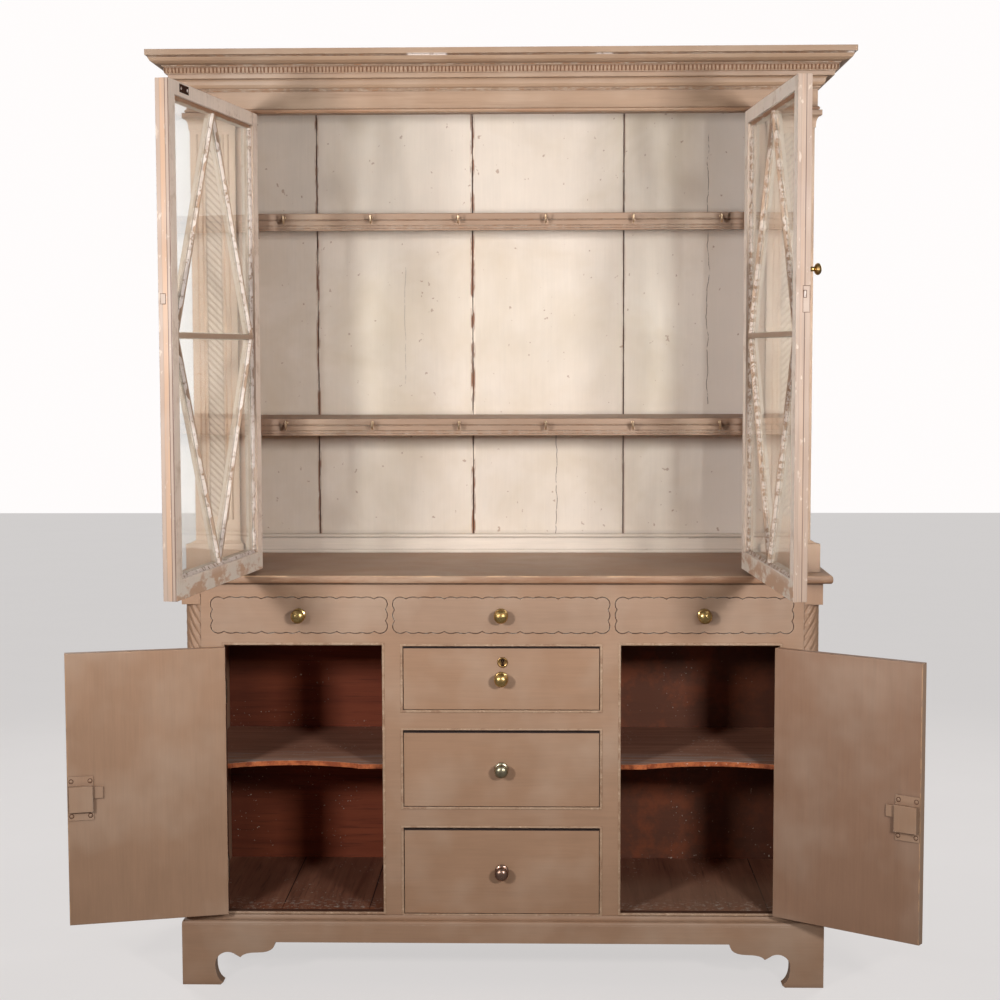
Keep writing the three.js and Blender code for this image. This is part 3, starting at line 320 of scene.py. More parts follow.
def putty(name, chalky, lost):
    """Old glazing putty: chalky, chipped, over grey wood, which shows more with a higher lost."""
    s = Shader(name)
    flakes = s.spots(lost, lost + 0.1, 90.0, 6.0, roughness=0.75)
    chalk = s.mix(s.spots(0.35, 0.65, 30.0, 4.0), chalky, YELLOW_CHALK)
    return s.surface(Base_Color=s.mix(flakes, GREY_WOOD, chalk), Roughness=0.85,
                     Normal=s.bump(flakes, 0.0006, 0.8))


def clear_glass():
    """Thin old glass, slightly wavy, that lets light through to what is behind it."""
    s = Shader("old_glass")
    body = s.principled(Base_Color=(0.94, 0.96, 0.95, 1.0), Roughness=0.02, IOR=1.45,
                        Transmission_Weight=1.0, Normal=s.bump(s.noise(6.0, 1.0), 0.002, 0.25))
    through = s.add("BsdfTransparent", {"Color": (0.93, 0.95, 0.94, 1.0)}).outputs[0]
    shadow = s.add("LightPath").outputs["Is Shadow Ray"]
    return s.finish(s.add("MixShader", {0: shadow, 1: body, 2: through}).outputs[0])


OLD_WOOD = (152, 118, 88)
OLD_WOOD_DARK = (112, 82, 58)
BOX_WOOD = (188, 148, 108)
BOX_WOOD_DARK = (150, 110, 76)
DRAWER_FRONT_BACK = 18.6      # where the front board of a drawer ends


def bare_beyond(s, paint, face, run, pale, dark, stain_scale, stain_low, stain_depth):
    """Unpainted old wood further back than face, in millimetres."""
    grain = s.noise(42.0, 5.0, s.stretched(*run), warp=0.8)
    stains = s.noise(stain_scale, 4.0, roughness=0.6)
    wood = s.lay(pale, (dark, s.span(grain, 0.35, 0.65)),
                 (OLD_WOOD_DARK, s.span(stains, stain_low, 0.7, 0.0, stain_depth)))
    return s.lay(paint, (wood, s.ramp("Y", face, face + 0.6)))


def bare_outside(s, paint, node):
    """The outer side of a back is unpainted."""
    face = span(node)[1].y - 1.0
    return bare_beyond(s, paint, face, (1.0, 1.0, 0.06), OLD_WOOD, OLD_WOOD_DARK, 2.6, 0.45, 0.5)


def bare_inside(s, paint):
    """The box of a drawer, behind its front board, is unpainted."""
    return bare_beyond(s, paint, DRAWER_FRONT_BACK, (0.06, 0.06, 1.0), BOX_WOOD, BOX_WOOD_DARK,
                       6.0, 0.48, 0.4)


# Joints of the back boards: place, half width, and how frayed
BOARD_JOINTS = ((-450.0, 1.7, 0.8), (-77.0, 2.0, 0.95), (285.0, 1.7, 0.35))
# Cracks of the back boards: place, swing, from, to, depth
BOARD_CRACKS = (
    (486.0, 34.0, 1270.0, 1914.0, 0.75),
    (124.0, 30.0, 920.0, 1228.0, 0.8),
    (-240.0, 16.0, 1320.0, 1600.0, 0.35))
YELLOWED = (204, 182, 150)
PAINTED_LIGHT_CREAM = (252, 242, 232)
JOINT_BROWN = (84, 52, 36)
FRAYED_BROWN = (150, 102, 74)
CREAM_CHIP = (238, 222, 204)
JOINT_CORE = (70, 42, 30)
CRACK_BROWN = (104, 74, 58)
SPOT_BROWN = (158, 114, 84)


def board_marks(s, paint):
    """Yellowed blotches, painted light making the boards paler towards the right, chipped joints
    between the back boards, and wandering cracks.
    """
    across = s.axis("X")
    blotches = s.noise(3.4, 4.0, roughness=0.65, warp=0.4)
    # Painted light: the boards grow paler towards the right side
    paint = s.lay(paint, (YELLOWED, s.span(blotches, 0.46, 0.72, 0.0, 0.42)),
                  (PAINTED_LIGHT_CREAM, s.ramp("X", 420, 600, 0.0, 0.85)))
    wander = s.span(s.noise(9.0, 3.0, s.stretched(0.0, 0.0, 1.0)), 0.0, 1.0, -0.5, 0.5)
    run = s.stretched(1.0, 1.0, 0.16)
    worn = s.spots(0.42, 0.56, 120.0, 3.0, run)
    white = s.spots(0.54, 0.6, 90.0, 4.0, run)
    bent = s.math("ADD", across, s.times(wander, 3.0 * MM))
    for x, core, rim in BOARD_JOINTS:
        for colour, width, place, *shares in (
                (JOINT_BROWN, 1.2, across, 0.9), (FRAYED_BROWN, 3.2, bent, worn, rim),
                (CREAM_CHIP, 3.6, bent, white, rim), (JOINT_CORE, 0.5, across, 0.8)):
            joint = s.line(place, level("X", x), width * core * MM)
            paint = s.lay(paint, (colour, joint, *shares))
    broken = s.spots(0.34, 0.5, 60.0, 3.0, s.stretched(0.3, 0.3, 1.0))
    for x, swing, low, high, depth in BOARD_CRACKS:
        bent = s.math("ADD", across, s.times(wander, swing * MM))
        crack = s.line(bent, level("X", x), 1.1 * MM)
        paint = s.lay(paint, (CRACK_BROWN, crack, broken, s.zone("Z", low, high), depth))
    paint = s.lay(paint, (SPOT_BROWN, s.spots(0.72, 0.75, 64.0, 2.0), 0.55))
    return bare_outside(s, paint, "upper_back_boards")


class Leaf:
    """A hung door: places on it are measured from its pin when shut, u towards its free edge,
    y from the front to the back, and z up from the floor."""

    def __init__(self, body):
        joint = joints[body]
        self.body = body
        self.pin = Vector(joint["pos_m"])
        self.side = -1 if self.pin.x < MIDDLE_X else 1
        self.angle = -self.side * math.radians(joint["range_deg"][0])
        self.turn = Matrix.Rotation(self.angle, 3, "Z")

    def point(self, u, y, z):
        flat = self.turn @ Vector((-self.side * u * MM, y * MM, 0.0))
        return Vector((self.pin.x + flat.x, self.pin.y + flat.y, z * MM))

    def outward(self):
        return self.turn @ FRONT

    def reach(self, node):
        """How far a node's mesh goes from the pin along the leaf, in metres."""
        back = self.turn.transposed()
        return max(-self.side * (back @ (node.matrix_world @ v.co - self.pin)).x
                   for v in node.data.vertices)

    def axes(self, s):
        """Metres along the leaf from the pin, and through it, as a shader's sockets."""
        away = s.vector_math("SUBTRACT", s.place, self.pin)
        turned = s.add("VectorRotate", {"Vector": away, "Angle": -self.angle},
                       rotation_type="Z_AXIS")
        split = s.add("SeparateXYZ", {"Vector": turned.outputs[0]}).outputs
        return s.times(split["X"], -self.side), split["Y"]


cupboard_leaves = [Leaf("cupboard_door_left"), Leaf("cupboard_door_right")]
glazed_leaves = [Leaf("glazed_door_left"), Leaf("glazed_door_right")]

# Glazed doors, in the leaf's own millimetres
DOOR_FREE = 559.3
DOOR_FRONT = 4.5
DOOR_BACK = 31.5
DOOR_WORN_MIDDLE = 18.0
DOOR_WORN_HALF = 6.5
DOOR_BARE_TOP = 975.0         # bare patches reach up to here
SIGHT_U = (41.5, 519.3)       # opening of the glass, along the leaf and up
SIGHT_Z = (965.5, 1878.5)
SIGHT_MIDDLE = 1429.9
SIGHT_BACK = 18.8             # the sides of the opening end here, in front of the glass
HINGE_SIDE = (40.0, 41.2, 42.5, 44.0)
REBATE = 6.6

SIGHT_SHADE = (160, 142, 124)
HINGE_SHADE = (126, 108, 92)
REBATE_SHADE = (138, 108, 86)
PALE_STREAK = (204, 180, 160)
WORN_EDGE = (206, 162, 128)
EDGE_LINE = (92, 62, 46)
RUBBED_BROWN = (182, 146, 116)
LIMEWASH = (236, 224, 210)
ORANGE_WOOD = (196, 140, 96)


def door_marks(leaf, lines, worn_share, edge_paint):
    """Worn meeting edge with lines along it, and bare patches low on the inner face.

    lines holds place, half width and depth of each line through the thickness, in millimetres.
    """
    def marks(s, paint):
        along, through = leaf.axes(s)
        run = s.stretched(1.0, 1.0, 0.05)

        def part(value, low, high):
            return s.span(value, low * MM, high * MM)

        before_glass = part(through, SIGHT_BACK + 0.1, SIGHT_BACK - 0.1)
        sides = s.band(along, SIGHT_U[0] * MM - 0.004, SIGHT_U[1] * MM + 0.004)
        a, b, c, d = HINGE_SIDE
        step = SIGHT_U[0] - REBATE
        rebate = s.band(along, (step - 0.7) * MM, (step + 0.6) * MM)
        chips = s.spots(0.64, 0.68, 110.0, 3.0, s.stretched(1.0, 1.0, 0.3))
        middle = s.line(through, DOOR_WORN_MIDDLE * MM, DOOR_WORN_HALF * MM)
        uneven = s.span(s.noise(60.0, 3.0, run), 0.3, 0.5, 0.35, 1.0)
        side = s.lay(
            edge_paint, (PALE_STREAK, s.spots(0.35, 0.65, 150.0, 4.0, run), 0.35),
            (WORN_EDGE, s.spots(0.4, 0.58, 70.0, 4.0, run), middle, worn_share),
            (UNDERCOAT, chips, 0.6),
            *((EDGE_LINE, s.line(through, place * MM, half * MM), uneven, depth)
              for place, half, depth in lines))

        inner = part(through, DOOR_BACK - 0.6, DOOR_BACK - 0.2)
        low = s.times(inner, s.ramp("Z", DOOR_BARE_TOP, DOOR_BARE_TOP - 30))
        patch = s.spots(0.46, 0.54, 11.0, 5.0, s.stretched(1.0, 1.0, 2.2), roughness=0.65)
        return s.lay(
            paint, (SIGHT_SHADE, sides, before_glass, 0.75),
            (HINGE_SHADE, part(along, d, c), before_glass, part(along, a, b), 0.85),
            (REBATE_SHADE, rebate, part(through, 19.5, 20.0), 0.85),
            (TAUPE, part(through, DOOR_FRONT + 0.5, DOOR_FRONT + 0.2), 0.92),
            (side, part(along, DOOR_FREE - 0.6, DOOR_FREE - 0.2)),
            (RUBBED_BROWN, inner, s.spots(0.52, 0.66, 15.0, 6.0, roughness=0.75), 0.5),
            (LIMEWASH, low, 0.8), (ORANGE_WOOD, low, patch, 0.7))
    return marks


CUPBOARD_EDGE_LIGHT = (204, 170, 144)
GOLDEN_ARRIS = (204, 160, 122)


def cupboard_door_marks(leaf):
    """Free edge made paler as painted light, as if lit by light bounced from the side, with a
    rubbed golden arris.
    """
    def marks(s, paint):
        along, _ = leaf.axes(s)
        free = leaf.reach(nodes[leaf.body])
        arris = s.line(along, free - 0.0012, 0.0014)
        # Painted light: the free edge is paler, for light bounced onto it
        return s.lay(
            paint, (CUPBOARD_EDGE_LIGHT, s.span(along, free - 0.0008, free - 0.0003), 0.75),
            (GOLDEN_ARRIS, arris, s.spots(0.42, 0.55, 40.0, 4.0), 0.7))
    return marks


DRAWER_HALF = 216.0           # half the width of a central drawer's opening
DRAWER_GAPS = (("lower", 2.4), ("middle", 2.6), ("upper", 1.7))   # half height of each painted gap shadow
GAP_SHADOW = (36, 13, 9)
BEAD_BROWN = (140, 96, 68)
BEAD_CREAM = (220, 192, 162)


def drawer_gaps(s, rise):
    """Painted gap shadow, a dark line rise millimetres over the top of each central drawer, as
    layers.
    """
    return [(GAP_SHADOW, s.stripe("Z", span("drawer_" + row)[1].z + rise, half))
            for row, half in DRAWER_GAPS]


def bead_marks(s, paint):
    """Cream chips and brown rubbing along the beads, and the shadow over each central drawer."""
    within = s.zone("X", -DRAWER_HALF, DRAWER_HALF)
    return s.lay(
        paint, (BEAD_BROWN, s.spots(0.5, 0.6, 40.0, 5.0, roughness=0.7), 0.5),
        (BEAD_CREAM, s.spots(0.55, 0.62, 120.0, 5.0, roughness=0.7), 0.4),
        *((*gap, within) for gap in drawer_gaps(s, 1.6)))


def drawer_marks(s, paint):
    """Painted shadow of the gap along the top of each central drawer, and its bare box."""
    return bare_inside(s, s.lay(paint, *drawer_gaps(s, -0.9)))


FRIEZE_Z = (776.0, 869.0)
FRIEZE_JOINT = (116, 72, 50)
OPENING_DARK_BROWN = (74, 40, 28)


def frieze_lines(s, paint):
    """Dark joint with cream chips round the scalloped drawer fronts."""
    joint = s.times(s.edges(0.0013, 0.01, 0.1), s.zone("Z", *FRIEZE_Z))
    return s.lay(paint, (FRIEZE_JOINT, joint, 0.6),
                 (UNDERCOAT, joint, s.spots(0.5, 0.56, 70.0), 0.9))


def frieze_drawer_marks(s, paint):
    return bare_inside(s, frieze_lines(s, paint))


def frame_marks(s, paint):
    """The face frame's frieze joint, and its edges inside the openings made dark brown."""
    return s.lay(frieze_lines(s, paint), (OPENING_DARK_BROWN, s.ramp("Y", 2.5, 5), 0.9))


# Worktop: the rubbed nose, its chipped upper arris, and its underside
NOSE_Z = (895, 909)
LIP_Z = 911
LIP_DEPTH = (7, 5)
UNDERSIDE_Z = 895.1
NOSE_BROWN = (150, 102, 70)
LIP_GOLD = (226, 188, 150)
RAIL_ORANGE = (168, 112, 74)
UNDERSIDE_SHADE = (66, 36, 26)


def worktop_marks(s, paint):
    """Worn brown nose with golden chips, an orange line at the back, and painted shade on the
    underside.
    """
    run = s.stretched(0.12, 1.0, 1.0)
    worn = s.spots(0.36, 0.56, 36.0, 5.0, run, roughness=0.7)
    chips = s.spots(0.5, 0.58, 60.0, 4.0, run, roughness=0.7)
    front = span("worktop")[0].y
    lip = s.ramp("Y", *(front + depth for depth in LIP_DEPTH))
    back = s.stripe("Y", span("upper_back_rail")[0].y - 3, 5)
    return s.lay(
        paint, (NOSE_BROWN, s.zone("Z", *NOSE_Z, 1.0), worn, 0.75),
        (LIP_GOLD, s.stripe("Z", LIP_Z, 2.6), lip, chips, 0.8),
        (RAIL_ORANGE, back, s.span(worn, 0.0, 1.0, 0.35, 0.8)),
        (UNDERSIDE_SHADE, s.ramp("Z", UNDERSIDE_Z + 0.5, UNDERSIDE_Z - 0.5), 0.85))


# Chips of the cornice: across from and to, height from and to, and depth
CORNICE_CHIPS = (
    (-196.0, -113.0, 2026.5, 2030.5, 0.9), (-36.0, 24.0, 1903.0, 1914.5, 0.6),
    (206.0, 240.0, 2026.5, 2029.5, 0.6), (738.0, 768.0, 2026.5, 2030.0, 0.7))
CORNICE_BEAD_Z = (1911.5, 1921)
CORNICE_STREAK = (132, 96, 70)
CORNICE_RUBBED = (168, 116, 80)
CORNICE_SCAR = (240, 228, 220)


def cornice_marks(s, paint):
    """Rubbed bead over the doors, a long chip on the crown and a pale scar."""
    streak = s.noise(42.0, 5.0, s.stretched(0.06, 1.0, 1.0), roughness=0.7)
    ragged = s.spots(0.36, 0.5, 90.0, 4.0, roughness=0.7)
    return s.lay(
        paint, (CORNICE_STREAK, s.span(streak, 0.5, 0.66, 0.0, 0.35)),
        (CORNICE_RUBBED, s.zone("Z", *CORNICE_BEAD_Z, 1.0), s.span(streak, 0.42, 0.55), 0.5),
        *((CORNICE_SCAR, s.times(s.zone("X", x0, x1, 3.0), s.zone("Z", z0, z1, 0.6)), ragged, depth)
          for x0, x1, z0, z1, depth in CORNICE_CHIPS))


GREY_BOARD = (106, 70, 53)
ORANGE_BLOTCH = (144, 82, 54)
CORNER_SHADE = (62, 30, 20)


def base_back_marks(s, wood):
    """The boards behind the right cupboard are greyer, with orange blotches, and painted shade
    darkens the boards towards the cupboards' outer sides.
    """
    blotch = s.spots(0.48, 0.62, 9.0, 5.0, roughness=0.7)
    wood = s.lay(
        wood, (s.mix(blotch, GREY_BOARD, ORANGE_BLOTCH), s.span(s.axis("X"), -0.02, 0.02), 0.8),
        # Painted shade: darker towards the outer sides of the cupboards
        (CORNER_SHADE, s.span(s.off_middle(), 0.46, 0.64, 0.0, 0.6)))
    return bare_outside(s, wood, "base_back_panel")


SHELF_DUST_AND_LIGHT = (214, 172, 148)
SHELF_BRUSHED = (190, 178, 170)
SHELF_EDGE = (200, 112, 66)
SHELF_EDGE_DARK = (150, 74, 44)


def shelf_marks(s, wood):
    """Worn orange front edge, and dry brush marks along the front of the dusty top, which is paler
    there, partly dust and partly a painted pool of light.
    """
    top = span("cupboard_shelf_left")[1].z
    brushed = s.spots(0.5, 0.62, 80.0, 4.0, s.stretched(0.08, 1.0, 1.0))
    near = s.ramp("Y", 190, 90)
    rubbed = s.mix(s.spots(0.42, 0.6, 60.0, 5.0, roughness=0.7), SHELF_EDGE, SHELF_EDGE_DARK)
    # Dust and painted light: the front of the top is paler
    return s.lay(wood, (SHELF_DUST_AND_LIGHT, near, 0.3), (SHELF_BRUSHED, brushed, near, 0.65),
                 (rubbed, s.ramp("Z", top - 0.3, top - 0.8)))


FLOOR_JOINTS = (-493.0, -297.0, 592.0)
FLOOR_GAP = (20, 10, 8)
SPLASHED_PAINT = (206, 190, 176)
FLOOR_ORANGE = (146, 80, 48)
FLOOR_DUST = (186, 150, 124)


def floor_marks(s, wood):
    """Joints of the floor boards, and the paint-splashed front of the floor."""
    start = span("base_floor_board")[0].y
    splash = s.spots(0.54, 0.6, 85.0, 5.0, roughness=0.75)
    warm = s.spots(0.48, 0.6, 16.0, 4.0, roughness=0.6)
    return s.lay(
        wood, *((FLOOR_GAP, s.stripe("X", x, 1.5)) for x in FLOOR_JOINTS),
        (SPLASHED_PAINT, s.ramp("Y", start + 110, start + 30), splash, 0.8),
        (FLOOR_ORANGE, s.ramp("Y", start + 90, start + 20), warm, 0.6),
        (FLOOR_DUST, s.span(s.axis("X"), 0.15, 0.2), s.ramp("Y", 330, 200), 0.35))


SHELF_END_BROWN = (134, 92, 66)


def nosing_marks(s, paint):
    """The plate shelves are browner near the cabinet's sides."""
    return s.lay(paint, (SHELF_END_BROWN, s.span(s.off_middle(), 0.44, 0.64, 0.0, 0.6)))


# Rope carving in the sunk strip of each pilaster, and the beads beside it
STRIP_HALF = 17.5
STRIP_FACE = 55.7
STRIP_BOTTOM = 1036.0
STRIP_TOP = 1866.0
STRIP_MIDDLE = 629.5
ROPE_PITCH = 15.5
ROPE_DEPTH = 3.3
SIDE_BEADS = (23.0, 34.0)
PILASTER_FACE = 52.7
CREST_RUB_AND_HIGHLIGHT = (196, 176, 158)
GROOVE_DIRT_AND_SHADE = (104, 80, 62)


def carving_marks(s, paint):
    """Dirt and painted shade between the strands of the rope carving, and rubbed crests with a
    painted highlight.
    """
    rise = s.math("SUBTRACT", s.axis("Z"), s.off_middle())
    turns = s.math("DIVIDE", rise, ROPE_PITCH * MM)
    phase = s.math("FRACT", s.math("ADD", turns, STRIP_MIDDLE / ROPE_PITCH))
    away = s.math("ABSOLUTE", s.math("SUBTRACT", phase, 0.5))
    # Painted highlight and rubbing on the crests, painted shade and dirt in the grooves
    return s.lay(paint, (CREST_RUB_AND_HIGHLIGHT, s.span(away, 0.2, 0.0, 0.0, 0.35)),
                 (GROOVE_DIRT_AND_SHADE, s.span(away, 0.34, 0.48, 0.0, 0.75)))


BEAD_UNDER = (206, 174, 142)
CREAM_BARE = (120, 84, 56)


def dress(material, *starts):
    """Covers the nodes whose names start so, and returns the material."""
    for name, node in nodes.items():
        if name.startswith(starts):
            node.data.materials.clear()
            node.data.materials.append(material)
    return material


dress(painted("taupe_paint_across", TAUPE, "X"), "")
taupe_upright = dress(painted("taupe_paint_upright", TAUPE, "Z"), "corner_column", "cupboard_lock")
dress(painted("taupe_paint_sides", TAUPE, "Z"), "base_side", "upper_side")
dress(painted("taupe_paint_back_to_front", (160, 123, 98), "Y"), "side_plinth")
dress(painted("frame_paint", TAUPE, "X", marks=frame_marks), "base_face_frame")
dress(painted("frieze_paint", (173, 139, 114), "X", marks=frieze_drawer_marks), "frieze_drawer")
dress(painted("drawer_paint", (173, 134, 105), "X", under=BEAD_UNDER, wear=0.8,
              marks=drawer_marks), "drawer_upper", "drawer_middle", "drawer_lower")
bead_paint = painted("worn_bead_paint", (182, 148, 120), "X", under=BEAD_UNDER, wear=1.0,
                     shade=0.3, marks=bead_marks)
dress(painted("worktop_paint", (177, 142, 115), "X", marks=worktop_marks), "worktop")
dress(painted("cornice_paint", (172, 140, 114), "X", wear=0.9, shade=0.95,
              marks=cornice_marks), "cornice")
reed_paint = painted("reed_paint", (170, 136, 110), "Z", wear=0.9, shade=0.8)
dress(painted("pilaster_paint", (167, 136, 112), "Z"), "pilaster")
carved_paint = painted("carved_paint", (168, 146, 128), "Z", wear=0.8, shade=0.9,
                       marks=carving_marks)
shelf_paint = painted("plate_shelf_paint", (161, 129, 105), "X", wear=0.9, shade=0.9,
                      marks=nosing_marks)
for leaf, word, colour in zip(cupboard_leaves, ("left", "right"), (TAUPE, (160, 122, 97))):
    dress(painted(word + "_cupboard_door_paint", colour, "Z", marks=cupboard_door_marks(leaf)),
          leaf.body)
dress(painted("cream_paint_upright", CREAM, "Z", bare=CREAM_BARE, brush=0.45, marks=board_marks),
      "upper_back_boards")
dress(painted("cream_paint_across", CREAM, "X", bare=CREAM_BARE), "upper_back_rail")
dress(painted("left_glazed_door_paint", (243, 222, 206), "Z", wear=0.7, marks=door_marks(
    glazed_leaves[0], ((23.2, 1.0, 0.8), (29.8, 1.3, 0.9), (12.8, 0.6, 0.3)), 0.8, EDGE_PAINT)),
      "glazed_door_left")
dress(painted("right_glazed_door_paint", (254, 238, 224), "Z", wear=0.7, marks=door_marks(
    glazed_leaves[1], ((15.0, 1.1, 0.9), (24.5, 0.6, 0.25)), 0.3, (169, 142, 124))),
      "glazed_door_right")
rib_paint = painted("rib_paint", (170, 138, 114), "Z", wear=0.9)
bare_fillet = painted("bare_fillet_wood", (150, 104, 72), "X", under=(196, 160, 132),
                      wear=1.0)
edge_iron = painted("painted_ironwork", EDGE_PAINT, "Z", wear=0.6)

dress(stained("stained_boards_across", "X"), "frieze_dust", "drawer_dust")
dress(stained("stained_boards_upright", "Z"), "partition")
dress(stained("floor_boards", "Y", (118, 74, 56), (160, 110, 86), floor_marks),
      "base_floor")
dress(stained("dusty_top_boards", "X", (140, 108, 80), (180, 146, 112)),
      "upper_top_board")
dress(stained("base_back_boards", "X", (128, 60, 38), (168, 86, 55), base_back_marks),
      "base_back")
dress(stained("cupboard_shelf_wood", "X", (146, 98, 78), (184, 134, 110), shelf_marks),
      "cupboard_shelf")

brass = dress(aged_metal("aged_brass", (212, 180, 118), (112, 74, 38), 0.22),
              "frieze_drawer_knob", "drawer_knob", "cupboard_door_knob", "glazed_door_knob")
grey_brass = aged_metal("greyed_brass", (176, 168, 142), (96, 80, 62), 0.24)
bronzed_brass = aged_metal("bronzed_brass", (158, 128, 112), (84, 62, 52), 0.24)
hook_brass = aged_metal("hook_brass", (252, 230, 196), (170, 124, 88), 0.24)
worn_brass = aged_metal("worn_brass", (168, 132, 84), (78, 50, 28), 0.32)
dress(aged_metal("worn_iron", (120, 104, 90), (60, 46, 36), 0.35),
      "cupboard_hinge", "glazed_hinge")

dress(clear_glass(), "glass_pane")
flaked_putty = putty("flaked_putty", (230, 216, 208), 0.38)
worn_putty = putty("worn_putty", (216, 198, 186), 0.44)
keyhole_shade = shadowed("keyhole_shade", (16, 9, 6))
joint_dirt_and_shade = shadowed("dirty_shaded_joint", (84, 54, 40))
recess_shade = shadowed("recess_shade", (58, 34, 26))
reed_gap_shade = shadowed("reed_gaps", (126, 92, 70))


def shown(name, data):
    """A new object of the scene."""
    thing = bpy.data.objects.new(name, data)
    bpy.context.scene.collection.objects.link(thing)
    return thing


def arc(steps, start=0.0, end=math.pi):
    """Angles from start to end, both held."""
    return [start + (end - start) * i / steps for i in range(steps + 1)]


def ring_round(centre, side, other, radius, count):
    """Points of a circle in the plane of side and other, in metres."""
    return [centre + (side * math.cos(a) + other * math.sin(a)) * radius
            for a in (2 * math.pi * i / count for i in range(count))]


class Piece:
    """Gathers rings of points into one mesh, and hangs it on a body of the frame."""

    def __init__(self):
        self.points = []
        self.faces = []

    def skin(self, rings, closed=True, caps=True):
        """Faces between rings of points that each hold the same count."""
        starts = []
        for ring in rings:
            starts.append(len(self.points))
            self.points.extend(ring)
        count = len(rings[0])
        for low, high in zip(starts, starts[1:]):
            for i in range(count if closed else count - 1):
                j = (i + 1) % count
                self.faces.append((low + i, low + j, high + j, high + i))
        if caps:
            for start in (starts[0], starts[-1]):
                self.faces.append(tuple(range(start, start + count)))
        return self

    def turned(self, base, axis, profile, segments=40):
        """A turned form: profile holds radius and height along axis, in millimetres."""
        side = axis.orthogonal().normalized()
        other = axis.cross(side)
        return self.skin([
            ring_round(base + axis * height * MM, side, other, max(radius, 0.02) * MM, segments)
            for radius, height in profile])

    def build(self, name, material, body, smooth=False):
        mesh = bpy.data.meshes.new(name)
        mesh.from_pydata([tuple(p) for p in self.points], [], self.faces)
        work = bmesh.new()
        work.from_mesh(mesh)
        bmesh.ops.recalc_face_normals(work, faces=work.faces)
        work.to_mesh(mesh)
        work.free()
        mesh.materials.append(material)
        mesh.polygons.foreach_set("use_smooth", [smooth] * len(mesh.polygons))
        piece = shown(name, mesh)
        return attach(piece, body)


# Beads round the openings of the base, in millimetres
BEAD_WIDTH = 6.0
BEAD_PROUD = 1.6
BEAD_SUNK = 0.3
CUPBOARD_X = (262.0, 608.0)
CUPBOARD_Z = (159.0, 756.0)


def opening_bead(piece, x0, x1, z0, z1):
    """Half-round bead on the face frame, mitred round one opening."""
    outline = [(x0, z0, -1, -1), (x1, z0, 1, -1), (x1, z1, 1, 1), (x0, z1, -1, 1)]
    rings = []
    for turn in arc(6):
        out = BEAD_WIDTH * (1 - math.cos(turn)) / 2
        y = BEAD_SUNK - (BEAD_PROUD + BEAD_SUNK) * math.sin(turn)
        rings.append([at(x + sx * out, y, z + sz * out) for x, z, sx, sz in outline])
    rings.append(rings[0])
    piece.skin(rings, caps=False)


def add_beads():
    piece = Piece()
    for side in (-1, 1):
        x0, x1 = sorted(side * x for x in CUPBOARD_X)
        opening_bead(piece, x0, x1, *CUPBOARD_Z)
    for row, _ in DRAWER_GAPS:
        low, high = span("drawer_" + row)
        opening_bead(piece, -DRAWER_HALF, DRAWER_HALF, low.z - 0.3, high.z + 1.5)
    piece.build("opening_beads", bead_paint, "carcase")


# Knobs: the foot as radius and height, then a flattened ball on a neck
KNOB_FOOT = [
    (0, 0), (14.6, 0), (15.2, 0.6), (15.2, 1.6), (13.8, 2.8), (9.5, 3.3), (7.4, 4.4), (6.2, 7.0),
    (6, 10.6)]
KNOB_NECK = 6.0
KNOB_BALL = 15.4
KNOB_BALL_DEPTH = 9.8
KNOB_CENTRE = 23.8
KNOB_SUNK = 0.3
SMALL_KNOB = 0.74
CUPBOARD_KNOB_U = 314.5
GLAZED_KNOB_U = 539.3
KNOB_METAL = {"drawer_middle": grey_brass, "drawer_lower": bronzed_brass}


def add_knob(node, base, outward, scale, metal, body):
    ball = [(KNOB_BALL * math.sin(turn), KNOB_CENTRE - KNOB_BALL_DEPTH * math.cos(turn))
            for turn in arc(18, math.asin(KNOB_NECK / KNOB_BALL))]
    profile = [(radius * scale, height * scale) for radius, height in KNOB_FOOT + ball]
    knob = Piece().turned(base, outward, profile).build("turned_" + node, metal, body, True)
    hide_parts(node)


def add_knobs():
    drawers = [("frieze_drawer", word) for word in ("left", "centre", "right")]
    drawers += [("drawer", word) for word in ("upper", "middle", "lower")]
    for kind, word in drawers:
        node, body = f"{kind}_knob_{word}", f"{kind}_{word}"
        low, high = span(node)
        base = at((low.x + high.x) / 2, -KNOB_SUNK, (low.z + high.z) / 2)
        add_knob(node, base, FRONT, 1.0, KNOB_METAL.get(body, brass), body)
    for node, leaf, u, scale in (
            ("cupboard_door_knob_left", cupboard_leaves[0], CUPBOARD_KNOB_U, 1.0),
            ("cupboard_door_knob_right", cupboard_leaves[1], CUPBOARD_KNOB_U, 1.0),
            ("glazed_door_knob", glazed_leaves[1], GLAZED_KNOB_U, SMALL_KNOB)):
        low, high = span(node)
        base = leaf.point(u, DOOR_FRONT - KNOB_SUNK, (low.z + high.z) / 2)
        add_knob(node, base, leaf.outward(), scale, brass, leaf.body)


# Escutcheon of the upper central drawer; its keyhole is an arc and a flared slot below it, a dark
# plug of painted shade for the hole
ESCUTCHEON_X = 3.0
ESCUTCHEON_Z = 718.4
ESCUTCHEON_RADIUS = 11.8
KEYHOLE_RADIUS = 4.2
KEYHOLE_RISE = 3.6
KEYHOLE_ARC = (math.radians(-50), math.radians(230))
KEYHOLE_SLOT = [(-2.4, -1.0), (-3.7, -8.6), (3.7, -8.6), (2.4, -1.0)]
KEYHOLE_Y = (0.1, -0.95)


